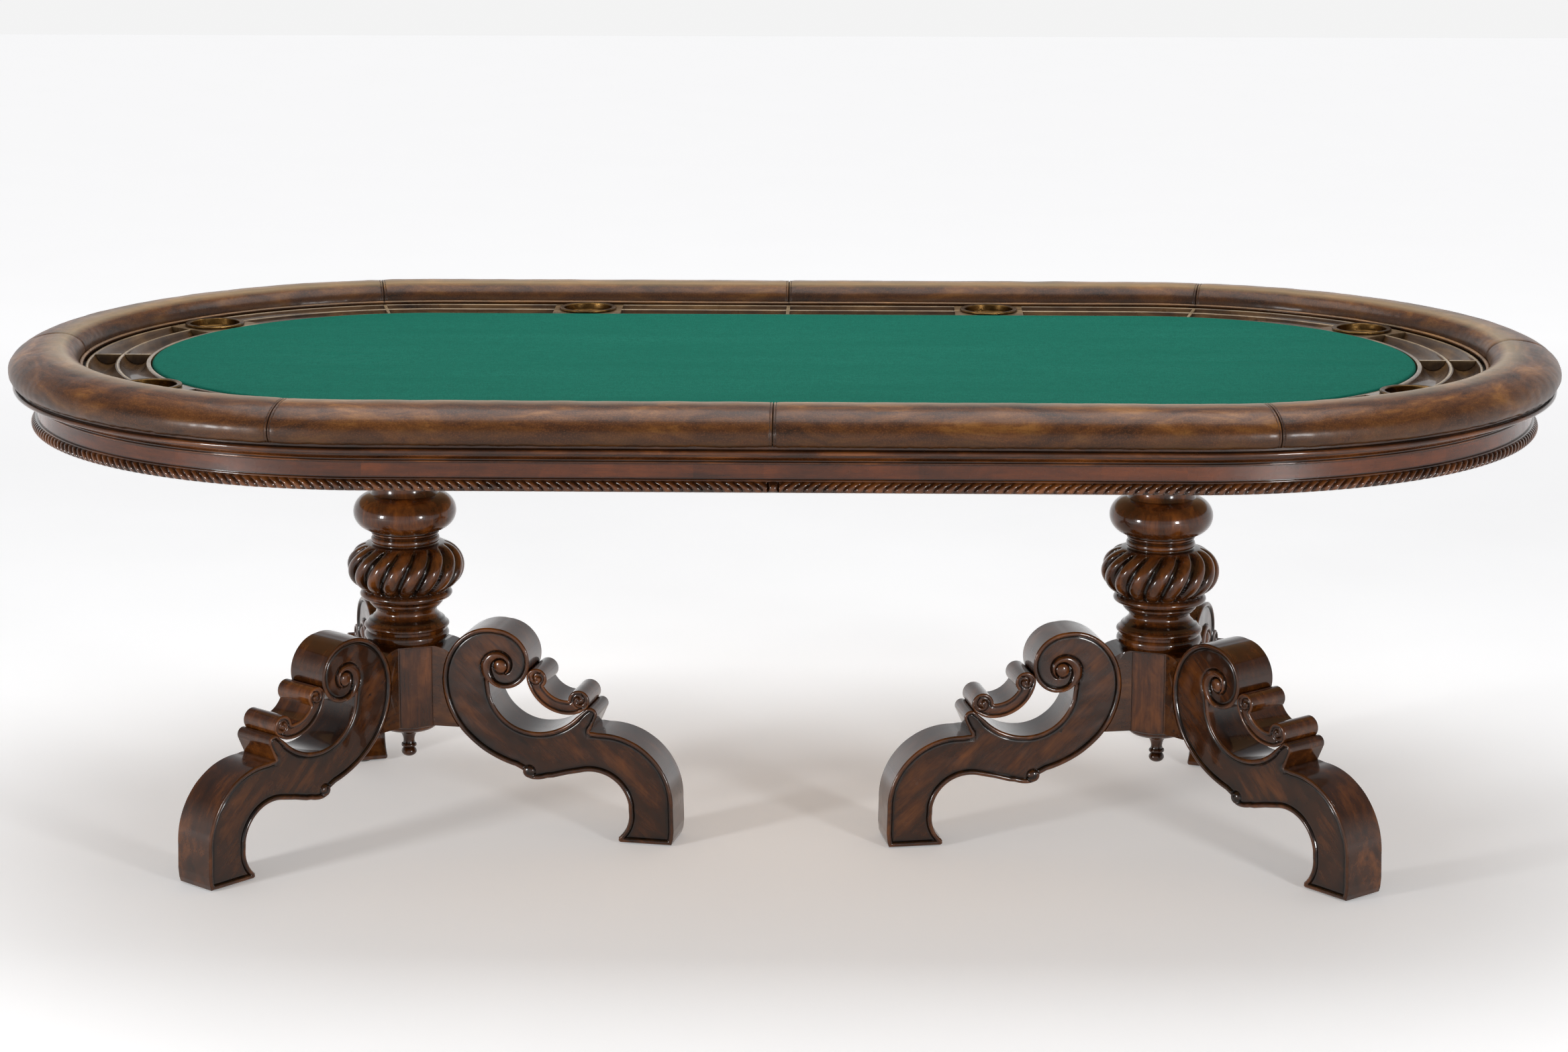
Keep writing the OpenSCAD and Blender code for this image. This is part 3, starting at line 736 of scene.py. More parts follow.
frieze("front", 0, -1)
frieze("back", 0, 1)
frieze("left", -1, 1)
frieze("right", 1, 1)

# the gadroon bead: its middle's height, half height, how far it stands out, and its lobes to a quarter
BEAD_Z, BEAD_HALF, PROUD, LOBES_A_QUARTER = DECK + 6, 8, 9.2, 106
EGG_HALF = 7.2


def gadroon_warp(r, z, s, run):
    """Cuts the bead into leaning lobes that meet at an egg at the middle of each side."""
    shrink = (FRIEZE + 6) / R_MID
    along = np.where(s < A, s, A + (s - A) * shrink)
    lobe = (A + (QUARTER - A) * shrink) / LOBES_A_QUARTER
    lean = (z - BEAD_Z) / BEAD_HALF
    f = along / lobe - 0.25 * (lean + 1) ** 2
    hump = dome(2 * (f - np.floor(f)) - 1) ** 0.8
    egg = dome(along / EGG_HALF) * dome(lean / 1.05)
    hump = np.where(along < EGG_HALF + 0.4, egg, hump)
    cut = (r > FRIEZE + 1.0) & (z < BEAD_Z + BEAD_HALF - 0.1)
    moved = np.where(cut, FRIEZE + (r - FRIEZE) * (0.22 + 0.78 * hump), r)
    worn = np.where(cut, (hump > 0.9) * 0.4, 0)
    # painted shade in the grooves between the lobes, and a little over the rest of the bead
    return moved, z, {"glaze": np.where(cut, (1 - hump) ** 0.8, 0.3), "worn": worn}


bead_profile = poly([[FRIEZE - 1, BEAD_Z - BEAD_HALF]],
                    arc((FRIEZE, BEAD_Z), PROUD, -90, 76, 1.7, rz=BEAD_HALF),
                    [[FRIEZE + 2.6, BEAD_Z + 8.1], [FRIEZE + 2.8, BEAD_Z + 9.6]],
                    [[FRIEZE + 2.2, BEAD_Z + 11], [FRIEZE - 1, BEAD_Z + 11]])
put("gadroon_bead", ring(bead_profile, 1.25, gadroon_warp), LACQUER, ["gadroon_moulding"], sharp=70)


# ---------- playing surface ----------
def slab(profile, step, warp=None):
    """A plate with round ends. profile starts near the middle line, goes over the edge and comes back."""
    v, _, a = ring(profile, step, warp)
    m = len(profile)
    n = len(v) // m
    top, low = [i * m for i in range(n)], [i * m + m - 1 for i in range(n)]
    return v, grid(n, m, True, False) + [top, low[::-1]], a


ROLL, CLOTH_T, SKIRT, MIDDLE = 5.0, 1.2, 19.0, 4
roll_c = (CLOTH_R - ROLL, CLOTH_Z - ROLL)
felt_profile = poly(
    [[r, CLOTH_Z] for r in (MIDDLE, 40, 90, 140, 190, 240, 290, 330, 360, 375, 383)],
    arc(roll_c, ROLL, 90, 0, 1.0), [[CLOTH_R, CLOTH_Z - SKIRT], [CLOTH_R - CLOTH_T, CLOTH_Z - SKIRT]],
    arc(roll_c, ROLL - CLOTH_T, 0, 90, 1.0),
    [[r, CLOTH_Z - CLOTH_T] for r in (375, 330, 190, 90, MIDDLE)])
calm = waves(10, 400, 120, 5)


def felt_warp(r, z, s, run):
    """The cloth lies a little unevenly, except at its middle line and over its edge."""
    sag = 0.12 * calm(run, r) * (r < 384) * np.clip((r - MIDDLE) / 86, 0, 1)
    return r, z + sag - 0.12, {}


felt = put("felt_top", slab(felt_profile, 8, felt_warp), FELT, ["play_cloth"])

pad_lo, pad_hi = box("play_pad")
pad_profile = poly([[r, pad_hi[2] - 0.2] for r in (MIDDLE, 200)],
                   arc((pad_hi[1] - 1.5, pad_hi[2] - 1.7), 1.5, 90, 0, 0.8),
                   [[pad_hi[1], pad_lo[2]], [MIDDLE, pad_lo[2]]])
put("felt_underlay", slab(pad_profile, 20), FOAM, ["play_pad"])


# ---------- chip racks ----------
# a trough's half width and depth, and the circle that it is cut with
COVE_HALF, COVE_DEEP = 20.5, 16.0
COVE_R = (COVE_HALF**2 + COVE_DEEP**2) / (2 * COVE_DEEP)
COVE_Z = TRAY - COVE_DEEP + COVE_R
COVE_ANGLE = math.degrees(math.asin(COVE_HALF / COVE_R))
TROUGHS = (RACK_OUT - 4 - COVE_HALF - 46, RACK_OUT - 4 - COVE_HALF)
RACK_IN = TROUGHS[0] - COVE_HALF - 7
# the cup holders: their radius from the quarter's centre, place on a side, and angle at an end
CUP_R, CUP_X, CUP_ANGLE = (RACK_OUT + RACK_IN) / 2, 333.0, 37.75
PLATE, BORE_R = 56.0, 41.2


def cove(r, end=4.0, shrink=0.0):
    """The trough's curve about radius r. end is how many degrees it stops short of the top."""
    return arc((r, COVE_Z), COVE_R - shrink, 270 - COVE_ANGLE + end, 270 + COVE_ANGLE - end, 2.0)


def rack_top():
    """The top of the rack's section: a bevelled rim, two troughs with a round ridge between, and a rim."""
    inner, outer = TROUGHS
    a, b = cove(inner), cove(outer)
    middle = (a[-1][0] + b[0][0]) / 2
    ridge = [[middle + 2.1 * math.cos(t), TRAY - 1.6 + 1.6 * math.sin(t)]
             for t in np.radians([165, 135, 105, 75, 45, 15])]
    before, after = inner - COVE_HALF, outer + COVE_HALF
    return poly([[RACK_IN, TRAY - 1.2], [RACK_IN + 0.35, TRAY - 0.4], [RACK_IN + 1.2, TRAY]],
                [[before - 1.0, TRAY], [before - 0.35, TRAY - 0.4]], a, ridge, b,
                [[after + 0.3, TRAY - 0.5], [after + 1.0, TRAY - 0.05], [RACK_OUT - 1.3, TRAY - 0.05]],
                [[RACK_OUT - 0.35, TRAY - 0.4], [RACK_OUT, TRAY - 1.2]])


TOP = rack_top()
FLAT_TOP = TOP.copy()
FLAT_TOP[(TOP[:, 0] > RACK_IN + 1.3) & (TOP[:, 0] < RACK_OUT - 1.4), 1] = TRAY


def bored(o, name, centre):
    """Cuts the cup's well right through a rack."""
    low, high = RACK0 - 5, TRAY + 5
    outline = np.array([[0.001, low], [BORE_R, low], [BORE_R, high], [0.001, high]])
    cut = put(name, lathe(outline, centre, 72, closed=False), RACK_WOOD, weld=True)
    m = o.modifiers.new("cup bore", "BOOLEAN")
    m.operation, m.solver, m.object = "DIFFERENCE", "EXACT", cut
    bpy.context.view_layer.update()
    made = bpy.data.meshes.new_from_object(o.evaluated_get(bpy.context.evaluated_depsgraph_get()))
    o.modifiers.clear()
    o.data = made
    made.set_sharp_from_angle(angle=math.radians(38))
    bpy.data.objects.remove(cut)


def rack(k):
    """One seat's rack: two troughs, and a flat plate with the cup's well, whose X and Y it returns."""
    end, sx, sy = SEATS[k]
    s0, s1 = (SEAM_S, QUARTER) if end else (0.0, SEAM_S)
    full = np.concatenate([[[RACK_IN, RACK0]], TOP, [[RACK_OUT, RACK0]]])
    flat = np.concatenate([[[RACK_IN, RACK0]], FLAT_TOP, [[RACK_OUT, RACK0]]])
    if end:
        mid = A + R_MID * math.radians(90 - CUP_ANGLE)
        half = R_MID * np.arcsin(PLATE / full[:, 0])
    else:
        mid, half = CUP_X, np.full(len(full), PLATE)
    # the stations are square to the rack at its ends, and turn parallel to the plate's sides near it
    lead, tail = steps(s0 + 0.1, mid - float(half.mean()), 6), steps(mid + float(half.mean()), s1 - 0.1, 6)
    t1 = (lead - lead[0]) / (lead[-1] - lead[0])
    t2 = (tail - tail[0]) / (tail[-1] - tail[0])
    a = lead[:, None] + np.outer(t1, (mid - half) - lead[-1])
    b = tail[:, None] + np.outer(1 - t2, (mid + half) - tail[0])
    c = (mid - half) + np.outer(np.linspace(0, 1, 15), 2 * half)
    s = np.concatenate([a, c, b])
    on_plate = np.repeat([0, 1, 0], [len(a), len(c), len(b)])[:, None]
    z = np.where(on_plate, flat[:, 1], full[:, 1])
    r = np.broadcast_to(full[:, 0], z.shape)
    x, y = place(s, r)
    sunk = TRAY - z > 0.05 * COVE_DEEP
    near_wall = np.minimum(np.abs(s - (mid - half)), np.abs(s - (mid + half)))
    near_end = np.minimum(s - s0, s1 - s)
    on_top = (z > TRAY - 0.9) & (z > RACK0 + 1)
    ridge = on_top & (np.abs(r - np.mean(TROUGHS)) < 3)
    worn = np.where(ridge, 0.9, np.where(on_top, 0.35, 0)) + 0.6 * bell(r - RACK_OUT, 3) * on_top
    # painted shade in the troughs near the plate's walls and near the rack's ends
    glaze = 0.35 * sunk * np.exp(-near_wall / 5) + 0.4 * sunk * np.exp(-np.maximum(near_end - 3, 0) / 5)
    grain = np.stack([s + 3000 * k, r, z], -1)
    marks = spread(grain, {"worn": np.clip(worn, 0, 1), "glaze": np.clip(glaze, 0, 1)}, z.shape)
    v = np.stack([x * sx, y * sy, z], -1).reshape(-1, 3)
    o = put(f"rack_unit_{k + 1}", (v, sleeve(*z.shape), marks), RACK_WOOD, [f"rack_{k + 1}"], weld=True)
    cx, cy = place(np.array(mid), np.array(CUP_R))
    centre = (float(cx) * sx, float(cy) * sy)
    bored(o, f"bore_{k + 1}", centre)
    ease(o, 0.7)
    return centre


CUPS = [rack(k) for k in range(8)]


def dividers():
    """A half moon across each trough at every seam."""
    parts = []
    for s, sx, sy in SEAMS:
        for r in TROUGHS:
            moon = poly(cove(r, 0.0, 0.12))
            parts.append(oriented(stretch(moon, np.array([s - 3.0, s + 3.0]), sx, sy)))
    v, f, a = join(parts)
    top = v[:, 2] > TRAY - 0.4
    # painted shade on the half moons' faces below their tops
    return v, f, {**a, "worn": top * 0.8, "glaze": np.where(top, 0.0, 0.3)}


put("rack_half_moons", dividers(), RACK_WOOD, ["rack_dividers"], bevel=0.6)


# ---------- cup holders ----------
def cup(k):
    """A spun cup with a rolled flange, a wide mouth, a step inside and a narrower well."""
    low, high = box(f"cup_{k + 1}")
    seat, top = TRAY + 0.2, high[2]
    step, floor = TRAY - 7, low[2]
    flange, mouth, well, t = 47.5, 39.5, 34.5, 1.2
    outer = poly([[0.0, floor]], arc((well + t - 3, floor + 3), 3, -90, 0, 0.9), [[well + t, step - t - 1]],
                 arc((well + t + 1, step - t - 1), 1, 180, 90, 0.5),
                 arc((mouth + t - 1.5, step - t + 1.5), 1.5, -90, 0, 0.6),
                 [[mouth + t, seat], [flange - 2.4, seat]])
    rim = poly(arc((flange - 2.2, (seat + top) / 2), 2.2, -90, 90, 0.6, rz=(top - seat) / 2),
               [[flange - 4.5, top - 0.35], [mouth + 3.2, top - 0.5]],
               arc((mouth + 1.6, top - 2.1), 1.6, 90, 180, 0.5))
    inner = poly([[mouth, step + 1.2]], arc((mouth - 1.2, step + 1.2), 1.2, 0, -90, 0.5), [[well + 1, step]],
                 arc((well + 1, step - 1), 1, 90, 180, 0.4), [[well, floor + 5]],
                 arc((well - 3.6, floor + t + 3.6), 3.6, 0, -90, 0.9), [[12, floor + t], [0.0, floor + t]])
    v, f, a = lathe(poly(outer, rim, inner), (0.0, 0.0), 96, closed=False)
    put(f"brass_cup_{k + 1}", (v + np.array([*CUPS[k], 0.0]), f, a), BRASS, [f"cup_{k + 1}"],
        f"cup_holder_{k + 1}", weld=True)


for seat in range(8):
    cup(seat)


# ---------- pedestals ----------
# the columns stand on the hubs
FOOT, HEAD = box("left_column")[0][2], box("left_column")[1][2]
# the bulb's middle, its radius, and the core that its lobes are cut down towards
BULB_Z, BULB_R, BULB_CORE, BULB_HALF = 419.0, 91.5, 52.0, 37
LOBES, TWIST, GROOVE = 17, math.radians(12.5), 9.5
ROD_R = 5.6
column_foot = poly(
    [[ROD_R, FOOT], [60, FOOT]], arc((58, 311), 8, -60, 60, 1.1), arc((58, 326), 8.5, -60, 60, 1.0, rz=5),
    [[59.7, 335], [58.5, 336.4], [54, 338]], arc((62, 349), 14.5, 225, 135, 1.1, rz=10),
    [[53.4, 357.6], [54.2, 359]], arc((53, 363), 4.1, -90, 90, 0.8, rz=3.5), [[56, 367.4], [61, 370]],
    arc((64, 376), 8, -80, 80, 1.1, rz=6), [[65, 382.4], [66, 384]])
column_bulb = poly(
    arc((BULB_CORE, BULB_Z), BULB_R - BULB_CORE, -60, 90, 1.3, rz=BULB_HALF), [[51.4, 456.5], [50.6, 457.4]],
    arc((50, 463), 3.4, -80, 80, 0.7, rz=5), [[50, 469], [51.5, 471]],
    arc((50, 473.6), 3, -80, 80, 0.7, rz=2.4), [[50.5, 477]])
column_neck = poly(
    arc((50, 507), 30.1, -84, 84, 1.2, rz=29), [[52, 538], [50, 545], [49.6, 552]],
    arc((50, 560), 7, -80, 80, 1.1, rz=5), [[48.6, 566], [48, 570], [46.6, 586], [47, 602], [50, 609]],
    [[56, 614], [72, 622], [82, 625.5], [85, 628], [85, HEAD], [ROD_R, HEAD]])
COLUMN = poly(column_foot, column_bulb, column_neck)
COLUMN_QUIRKS = (335.5, 338, 357, 368, 383.5, 457, 469, 477, 537)


def bulb_warp(r, z, phi):
    """Cuts the bulb into lobes that wind round it, and marks glaze and painted shade in the grooves and
    quirks.
    """
    t = (z - BULB_Z) / (BULB_HALF - 1)
    on = (np.abs(t) < 1.02) & (r > BULB_CORE - 1)
    f = (phi - TWIST * (t + 0.25 * t**2)) * LOBES / (2 * np.pi)
    f = f - np.floor(f)
    hump = dome(np.abs(2 * f - 1) / 0.84)
    fade = np.clip((1.0 - np.abs(t)) / 0.16, 0, 1) ** 0.6
    g = np.where(on, (1 - hump) ** 0.85 * fade, 0) + sum(0.8 * bell(z - h, 1.4) for h in COLUMN_QUIRKS)
    marks = {"glaze": np.clip(g, 0, 1), "worn": np.where(on & (hump > 0.9), 0.18, 0)}
    return r - np.where(on, (1 - hump) * fade * GROOVE, 0), z, marks


FINIAL = poly([[0.0, 110]], arc((0, 118.5), 12, -88, 58, 1.0, rz=8.5), [[5.6, 126]],
              arc((8, 129), 4.2, -70, 70, 0.7, rz=3.6), [[9.3, 133]],
              arc((25, 136), 16.3, 180, 105, 1.2, rz=19), [[22, 155]],
              arc((20, 166), 26, -80, 0, 1.3, rz=11.5), [[47, 167.2], [48.4, 167.6]],
              arc((49, 170.3), 2.6, -90, 80, 0.6), [[5.6, 173], [5.6, 160], [0.0, 160]])


def column(side, word):
    part = lathe(COLUMN, (side * PED, 0.0), 408, bulb_warp)
    put(f"{word}_turned_column", part, LACQUER, [f"{word}_column"], sharp=55)


def finial_warp(r, z, phi):
    # glaze and painted shade in the finial's quirks
    g = sum(bell(z - h, 1.2) for h in (126, 133, 154.5, 167))
    return r, z, {"glaze": np.clip(g, 0, 1) * 0.8, "worn": 0 * z}


def finial(side, word):
    part = lathe(FINIAL, (side * PED, 0.0), 96, finial_warp, closed=False)
    put(f"{word}_drop_finial", part, LACQUER, [f"{word}_finial"], sharp=50, weld=True)


# ---------- carved boards: the legs and their brackets ----------
def inside(p, outline):
    """Whether each point is inside a closed outline."""
    x, y = p[:, 0][:, None], p[:, 1][:, None]
    x0, y0 = outline[:, 0][None], outline[:, 1][None]
    x1, y1 = np.roll(outline[:, 0], -1)[None], np.roll(outline[:, 1], -1)[None]
    out = np.zeros(len(p), bool)
    for i in range(0, len(p), 3000):
        c = slice(i, i + 3000)
        cross = ((y0 > y[c]) != (y1 > y[c])) & (x[c] < (x1 - x0) * (y[c] - y0) / (y1 - y0 + 1e-12) + x0)
        out[c] = cross.sum(1) % 2 == 1
    return out


def distance(p, line, closed=True):
    """Distance of each point from a line of points, and how far along the line the nearest is."""
    a = line if closed else line[:-1]
    b = np.roll(line, -1, 0) if closed else line[1:]
    ab = b - a
    len2 = (ab**2).sum(1) + 1e-12
    best, at = np.empty(len(p)), np.empty(len(p))
    for i in range(0, len(p), 1500):
        q = p[i:i + 1500, None] - a[None]
        t = np.clip((q * ab).sum(-1) / len2, 0, 1)
        d = np.linalg.norm(q - t[..., None] * ab, axis=-1)
        j = d.argmin(1)
        rows = np.arange(len(d))
        best[i:i + 1500], at[i:i + 1500] = d[rows, j], j + t[rows, j]
    return best, at


def hexes(low, high, step):
    """Points step apart in a triangular pattern over a rectangle."""
    xs, ys = np.arange(low[0], high[0], step), np.arange(low[1], high[1], step * 0.866)
    gx, gy = np.meshgrid(xs, ys)
    gx = gx + (np.arange(len(ys))[:, None] % 2) * step / 2
    return np.stack([gx.ravel(), gy.ravel()], 1)


def carved(outline, relief, insets, fine_spots, step):
    """A thick board with this outline in side view, and the same relief on both faces.

    relief gives the half thickness and the marks. The mesh follows the outline at each inset, is
    fine in fine_spots and has points about step apart elsewhere.
    """
    line = closed_in_steps(outline, 1.7)
    area = 0.5 * (line[:, 0] * np.roll(line[:, 1], -1) - np.roll(line[:, 0], -1) * line[:, 1]).sum()
    if area < 0:
        line = line[::-1]
    t = np.roll(line, -1, 0) - np.roll(line, 1, 0)
    t /= np.linalg.norm(t, axis=1)[:, None] + 1e-12
    inward = np.stack([-t[:, 1], t[:, 0]], 1)
    pts = []
    for d in insets:
        q = line + inward * d
        q = q[inside(q, line)]
        q = q[distance(q, line)[0] > 0.94 * d]
        pts.append(q)
    low, high = line.min(0), line.max(0)
    h = hexes(low, high, step)
    h = h[inside(h, line)]
    h = h[distance(h, line)[0] > insets[-1] + step * 0.6]
    for c, radius in fine_spots:
        h = h[np.linalg.norm(h - c, axis=1) > radius]
        extra = hexes(np.array(c) - radius, np.array(c) + radius, 1.15)
        extra = extra[np.linalg.norm(extra - c, axis=1) < radius]
        extra = extra[inside(extra, line)]
        pts.append(extra[distance(extra, line)[0] > 1.2])
    pts = np.concatenate([*pts, h])
    # of the points in one cell of this size, one is kept
    cell = 0.3
    key = np.round(pts / cell).astype(int)
    pts = pts[np.unique(key, axis=0, return_index=True)[1]]
    n = len(line)
    everything = np.concatenate([line, pts])
    edges = [(i, (i + 1) % n) for i in range(n)]
    res = delaunay_2d_cdt([Vector(p) for p in everything], edges, [], 1, 1e-4)
    p = np.array([(q.x, q.y) for q in res[0]])
    tris = [list(t3) for t3 in res[2]]
    where = {}
    for out_i, sources in enumerate(res[3]):
        for src in sources:
            where[src] = out_i
    d = distance(p, line)[0]
    rim = [where[i] for i in range(n)]
    d[rim] = 0
    half, marks = relief(p, d)
    count = len(p)
    front = np.stack([p[:, 0], half, p[:, 1]], 1)
    back = front * [1, -1, 1]
    faces = tris + [[i + count for i in t3[::-1]] for t3 in tris]
    ab, bc = p[tris[0][1]] - p[tris[0][0]], p[tris[0][2]] - p[tris[0][1]]
    ccw = ab[0] * bc[1] - ab[1] * bc[0] > 0
    for i in range(n):
        a, b = rim[i], rim[(i + 1) % n]
        if a != b:
            quad = [a, b, b + count, a + count]
            faces.append(quad[::-1] if ccw else quad)
    v = np.concatenate([front, back])
    marks = {k: np.concatenate([x, x]) for k, x in marks.items()}
    edge = np.zeros(count)
    edge[rim] = 1
    marks["rim"] = np.concatenate([edge, -edge])
    return v, faces, marks


def spiral(c, r, a0, rate, start, stop, n):
    """n points on a spiral of radius r at angle a0, growing by rate for each degree."""
    a = np.linspace(start, stop, n)
    q = r * np.exp(rate * (a - a0))
    return np.stack([c[0] + q * np.cos(np.radians(a)), c[1] + q * np.sin(np.radians(a))], 1)


# a leg's volute, the ear where its bracket lands, and the ball under its knee
EYE, EAR, BALL = np.array([162.0, 274.0]), np.array([304.0, 199.0]), np.array([206.0, 107.0])
EYE_R, BALL_R = 11.5, 9
CROWN_R, CROWN_A = 60.4, 97
leg_front = poly(
    spiral(EYE, CROWN_R, CROWN_A, 0.00485, 195, CROWN_A, 70),
    spiral(EYE, CROWN_R, CROWN_A, 0.0029, 90, -128, 130),
    arc((218, 247), 75, 195, 270), arc((218, 262), 90, 272, 316),
    arc((305.5, 205), 10.6, 142, -32, 1.0), [[304.5, 177], [310, 177], [318, 176]])
leg_foot = poly(arc((324, 64), 112, 88, -2), [[437, 24], [435.5, 10], [433, 2.5], [352, 2.5]],
                arc((352, 6), 3, 250, 150, 0.8), arc((319, 46), 47, -50, 8), arc((306, 53), 60, 10, 100))
leg_knee = poly([[267, 106], [244, 99.5]], arc((216, 150), 55, 290, 264), arc(BALL, 10, 250, 170, 0.9),
                arc((225.7, 279.7), 170, 256, 228), arc((196, 250), 128, 224, 184, 1.6))

# the bead along the leg's edge, its height, and the height of the ground inside it
BEAD, LEG_TOP, LEG_FLOOR = 3.7, 38.5, 35.3
# the volute's curl winds into the eye: its turn in degrees, half width and radius
CURL_TURNS = [92, 110, 140, 180, 230, 270, 320, 360, 412]
CURL_WIDTHS = [3.6, 4.6, 6.9, 8.4, 6.8, 5.2, 3.7, 2.7, 1.3]
CURL_RADII = [33.2, 30.6, 27.0, 23.8, 19.6, 17.2, 15.2, 13.9, 13.2]
curl_a = np.linspace(92, 412, 110)
curl_w = np.interp(curl_a, CURL_TURNS, CURL_WIDTHS)
curl_r = np.interp(curl_a, CURL_TURNS, CURL_RADII)
curl = EYE + np.stack([curl_r * np.cos(np.radians(curl_a)), -curl_r * np.sin(np.radians(curl_a))], 1)


def leg_relief(p, d):
    """An edge bead round a sunk, slightly uneven ground, with the curl, eye and ball raised on it."""
    b = BEAD - 1.3 * np.exp(-((np.linalg.norm(p - EAR, axis=1) / 15) ** 4))
    bead = LEG_TOP - b + np.sqrt(np.clip(b**2 - (d - b) ** 2, 0, None))
    uneven = 0.12 * waves(14, 90, 24, 3)(p[:, 0], p[:, 1])
    ground = LEG_FLOOR + uneven + 0.7 * np.exp(-((d - 2 * b) / 7).clip(0)) - 1.3 * bell(d - 2 * b - 0.1, 1.3)
    half = np.where(d < 2 * b, np.maximum(bead, ground), ground)
    dc, at = distance(p, curl, closed=False)
    w = np.interp(at, np.arange(len(curl)), curl_w)
    roll = LEG_FLOOR - 0.9 + (LEG_TOP + 1.4 - LEG_FLOOR + 0.9) * dome(dc / w)
    quirk = 1.5 * bell(dc - w - 0.5, 1.2) * (d > 2 * b)
    eye_d = np.linalg.norm(p - EYE, axis=1)
    moat = 1.6 * bell(eye_d - 12.2, 1.1)
    half = np.where(d > b, half - quirk - moat, half)
    half = np.where((dc < w) & (d > 0.5), np.maximum(half, np.minimum(roll, LEG_TOP + 1.5)), half)
    eye = LEG_FLOOR - 0.4 + 6.2 * dome(eye_d / EYE_R)
    half = np.where(eye_d < EYE_R, np.maximum(half, eye), half)
    ball_d = np.linalg.norm(p - BALL, axis=1)
    ball = LEG_FLOOR - 0.4 + 4.6 * dome(ball_d / BALL_R)
    half = np.where(ball_d < BALL_R, np.maximum(half, ball), half)
    ditch = bell(ball_d - BALL_R - 0.9, 0.9) * (d > 1.2)
    # dark glaze and painted shade inside the edge bead, in the quirk, moat and ditch, and a little everywhere
    glaze = bell(d - 2 * b - 0.2, 1.9) + 0.72 * np.exp(-np.maximum(d - 2 * b, 0) / 10) * (d > 2 * b) + 0.2
    glaze += quirk * 0.75 + moat * 0.6 + ditch
    glaze = np.where((dc < w * 0.8) | (eye_d < 10.4), 0.0, glaze)
    worn = 0.3 * bell(d - 2.0, 1.3) + 0.3 * (eye_d < 9) + 0.2 * (dc < w * 0.4)
    return half - 1.5 * ditch, {"glaze": np.clip(glaze, 0, 1) * 0.94, "worn": worn}


INSETS = [0.3, 0.8, 1.5, 2.4, 3.9, 5.4, 6.4, 7.1, 7.8, 8.6, 9.8, 12.0]
LEG = carved(poly(leg_front, leg_foot, leg_knee), leg_relief, INSETS, [(EYE, 34.0), (BALL, 15.0)], 3.4)


def on_pedestal(part, side, angle, grain_turn):
    """Turns a part drawn along +X about the pedestal's axis and takes it to its place."""
    v, f, marks = part
    c, s = math.cos(math.radians(angle)), math.sin(math.radians(angle))
    x, y = v[:, 0] * c - v[:, 1] * s, v[:, 0] * s + v[:, 1] * c
    if side > 0:
        x = -x
    g, h = math.cos(grain_turn), math.sin(grain_turn)
    along = v[:, 0] * g - v[:, 2] * h
    over = v[:, 0] * h + v[:, 2] * g
    grain = np.stack([along + 900 * angle / 10 + 400 * side, over, v[:, 1]], 1) * 0.001
    return np.stack([x + side * PED, y, v[:, 2]], 1), f, {**marks, "grain": grain}


# a bracket is a C about this centre, between two circles, with a curl at each end
C, C_OUT, C_IN = np.array([268.0, 268.0]), 66, 43
# each curl's centre, radius and the way that it winds
CURLS = [((219.5, 257.0), 16.2, 1), ((287.0, 225.0), 17.0, -1)]
C_STOP = math.radians(288)
bracket_outline = poly(
    arc(C, C_OUT, 193, 281), [C + 65.3 * np.array([math.cos(C_STOP), math.sin(C_STOP)])],
    arc(CURLS[1][0], CURLS[1][1], -66, 178, 1.0), arc(C, C_IN, 271.5, 212),
    arc(CURLS[0][0], CURLS[0][1], -43.8, 190, 1.0))
BR_BEAD, BR_TOP, BR_FLOOR, NUB_R = 2.9, 37.5, 35.2, 4.6


def bracket_relief(p, d):
    """An edge bead round a sunk ground, and a ridge that winds into a nub at each end."""
    b = BR_BEAD
    bead = BR_TOP - b + np.sqrt(np.clip(b**2 - (d - b) ** 2, 0, None))
    ground = BR_FLOOR - 0.8 * bell(d - 2 * b, 1.1)
    half = np.where(d < 2 * b, np.maximum(bead, ground), ground)
    # dark glaze and painted shade inside the edge bead and in the trenches beside the curls
    glaze = bell(d - 2 * b - 0.2, 1.4)
    for c, r, turn in CURLS:
        start = math.degrees(math.atan2(C[1] - c[1], C[0] - c[0])) + turn * 60
        line = spiral(c, r - b, start, -0.0040 * turn, start, start + turn * 290, 80)
        dc, at = distance(p, line, closed=False)
        w = np.interp(at, [0, 79], [3.0, 2.6])
        near = np.linalg.norm(p - c, axis=1)
        trench = 1.1 * bell(dc - w - 0.5, 0.8) * (near < r - 3)
        half = np.where(d > b, half - trench, half)
        half = np.where((dc < w) & (d > 0.6), np.maximum(half, BR_FLOOR - 0.6 + 2.9 * dome(dc / w)), half)
        half = np.where(near < NUB_R, np.maximum(half, BR_FLOOR - 0.3 + 3.0 * dome(near / NUB_R)), half)
        glaze = np.where(dc < w * 0.8, 0, glaze + trench * 0.8)
    return half, {"glaze": np.clip(glaze, 0, 1) * 0.92, "worn": 0.5 * bell(d - 1.6, 1.1)}


BRACKET_INSETS = [0.3, 0.8, 1.3, 2.1, 3.0, 4.2, 5.2, 5.8, 6.4, 7.2, 8.6]
BRACKET_SPOTS = [(CURLS[0][0], 15.0), (CURLS[1][0], 16.0)]
BRACKET = carved(bracket_outline, bracket_relief, BRACKET_INSETS, BRACKET_SPOTS, 3.0)


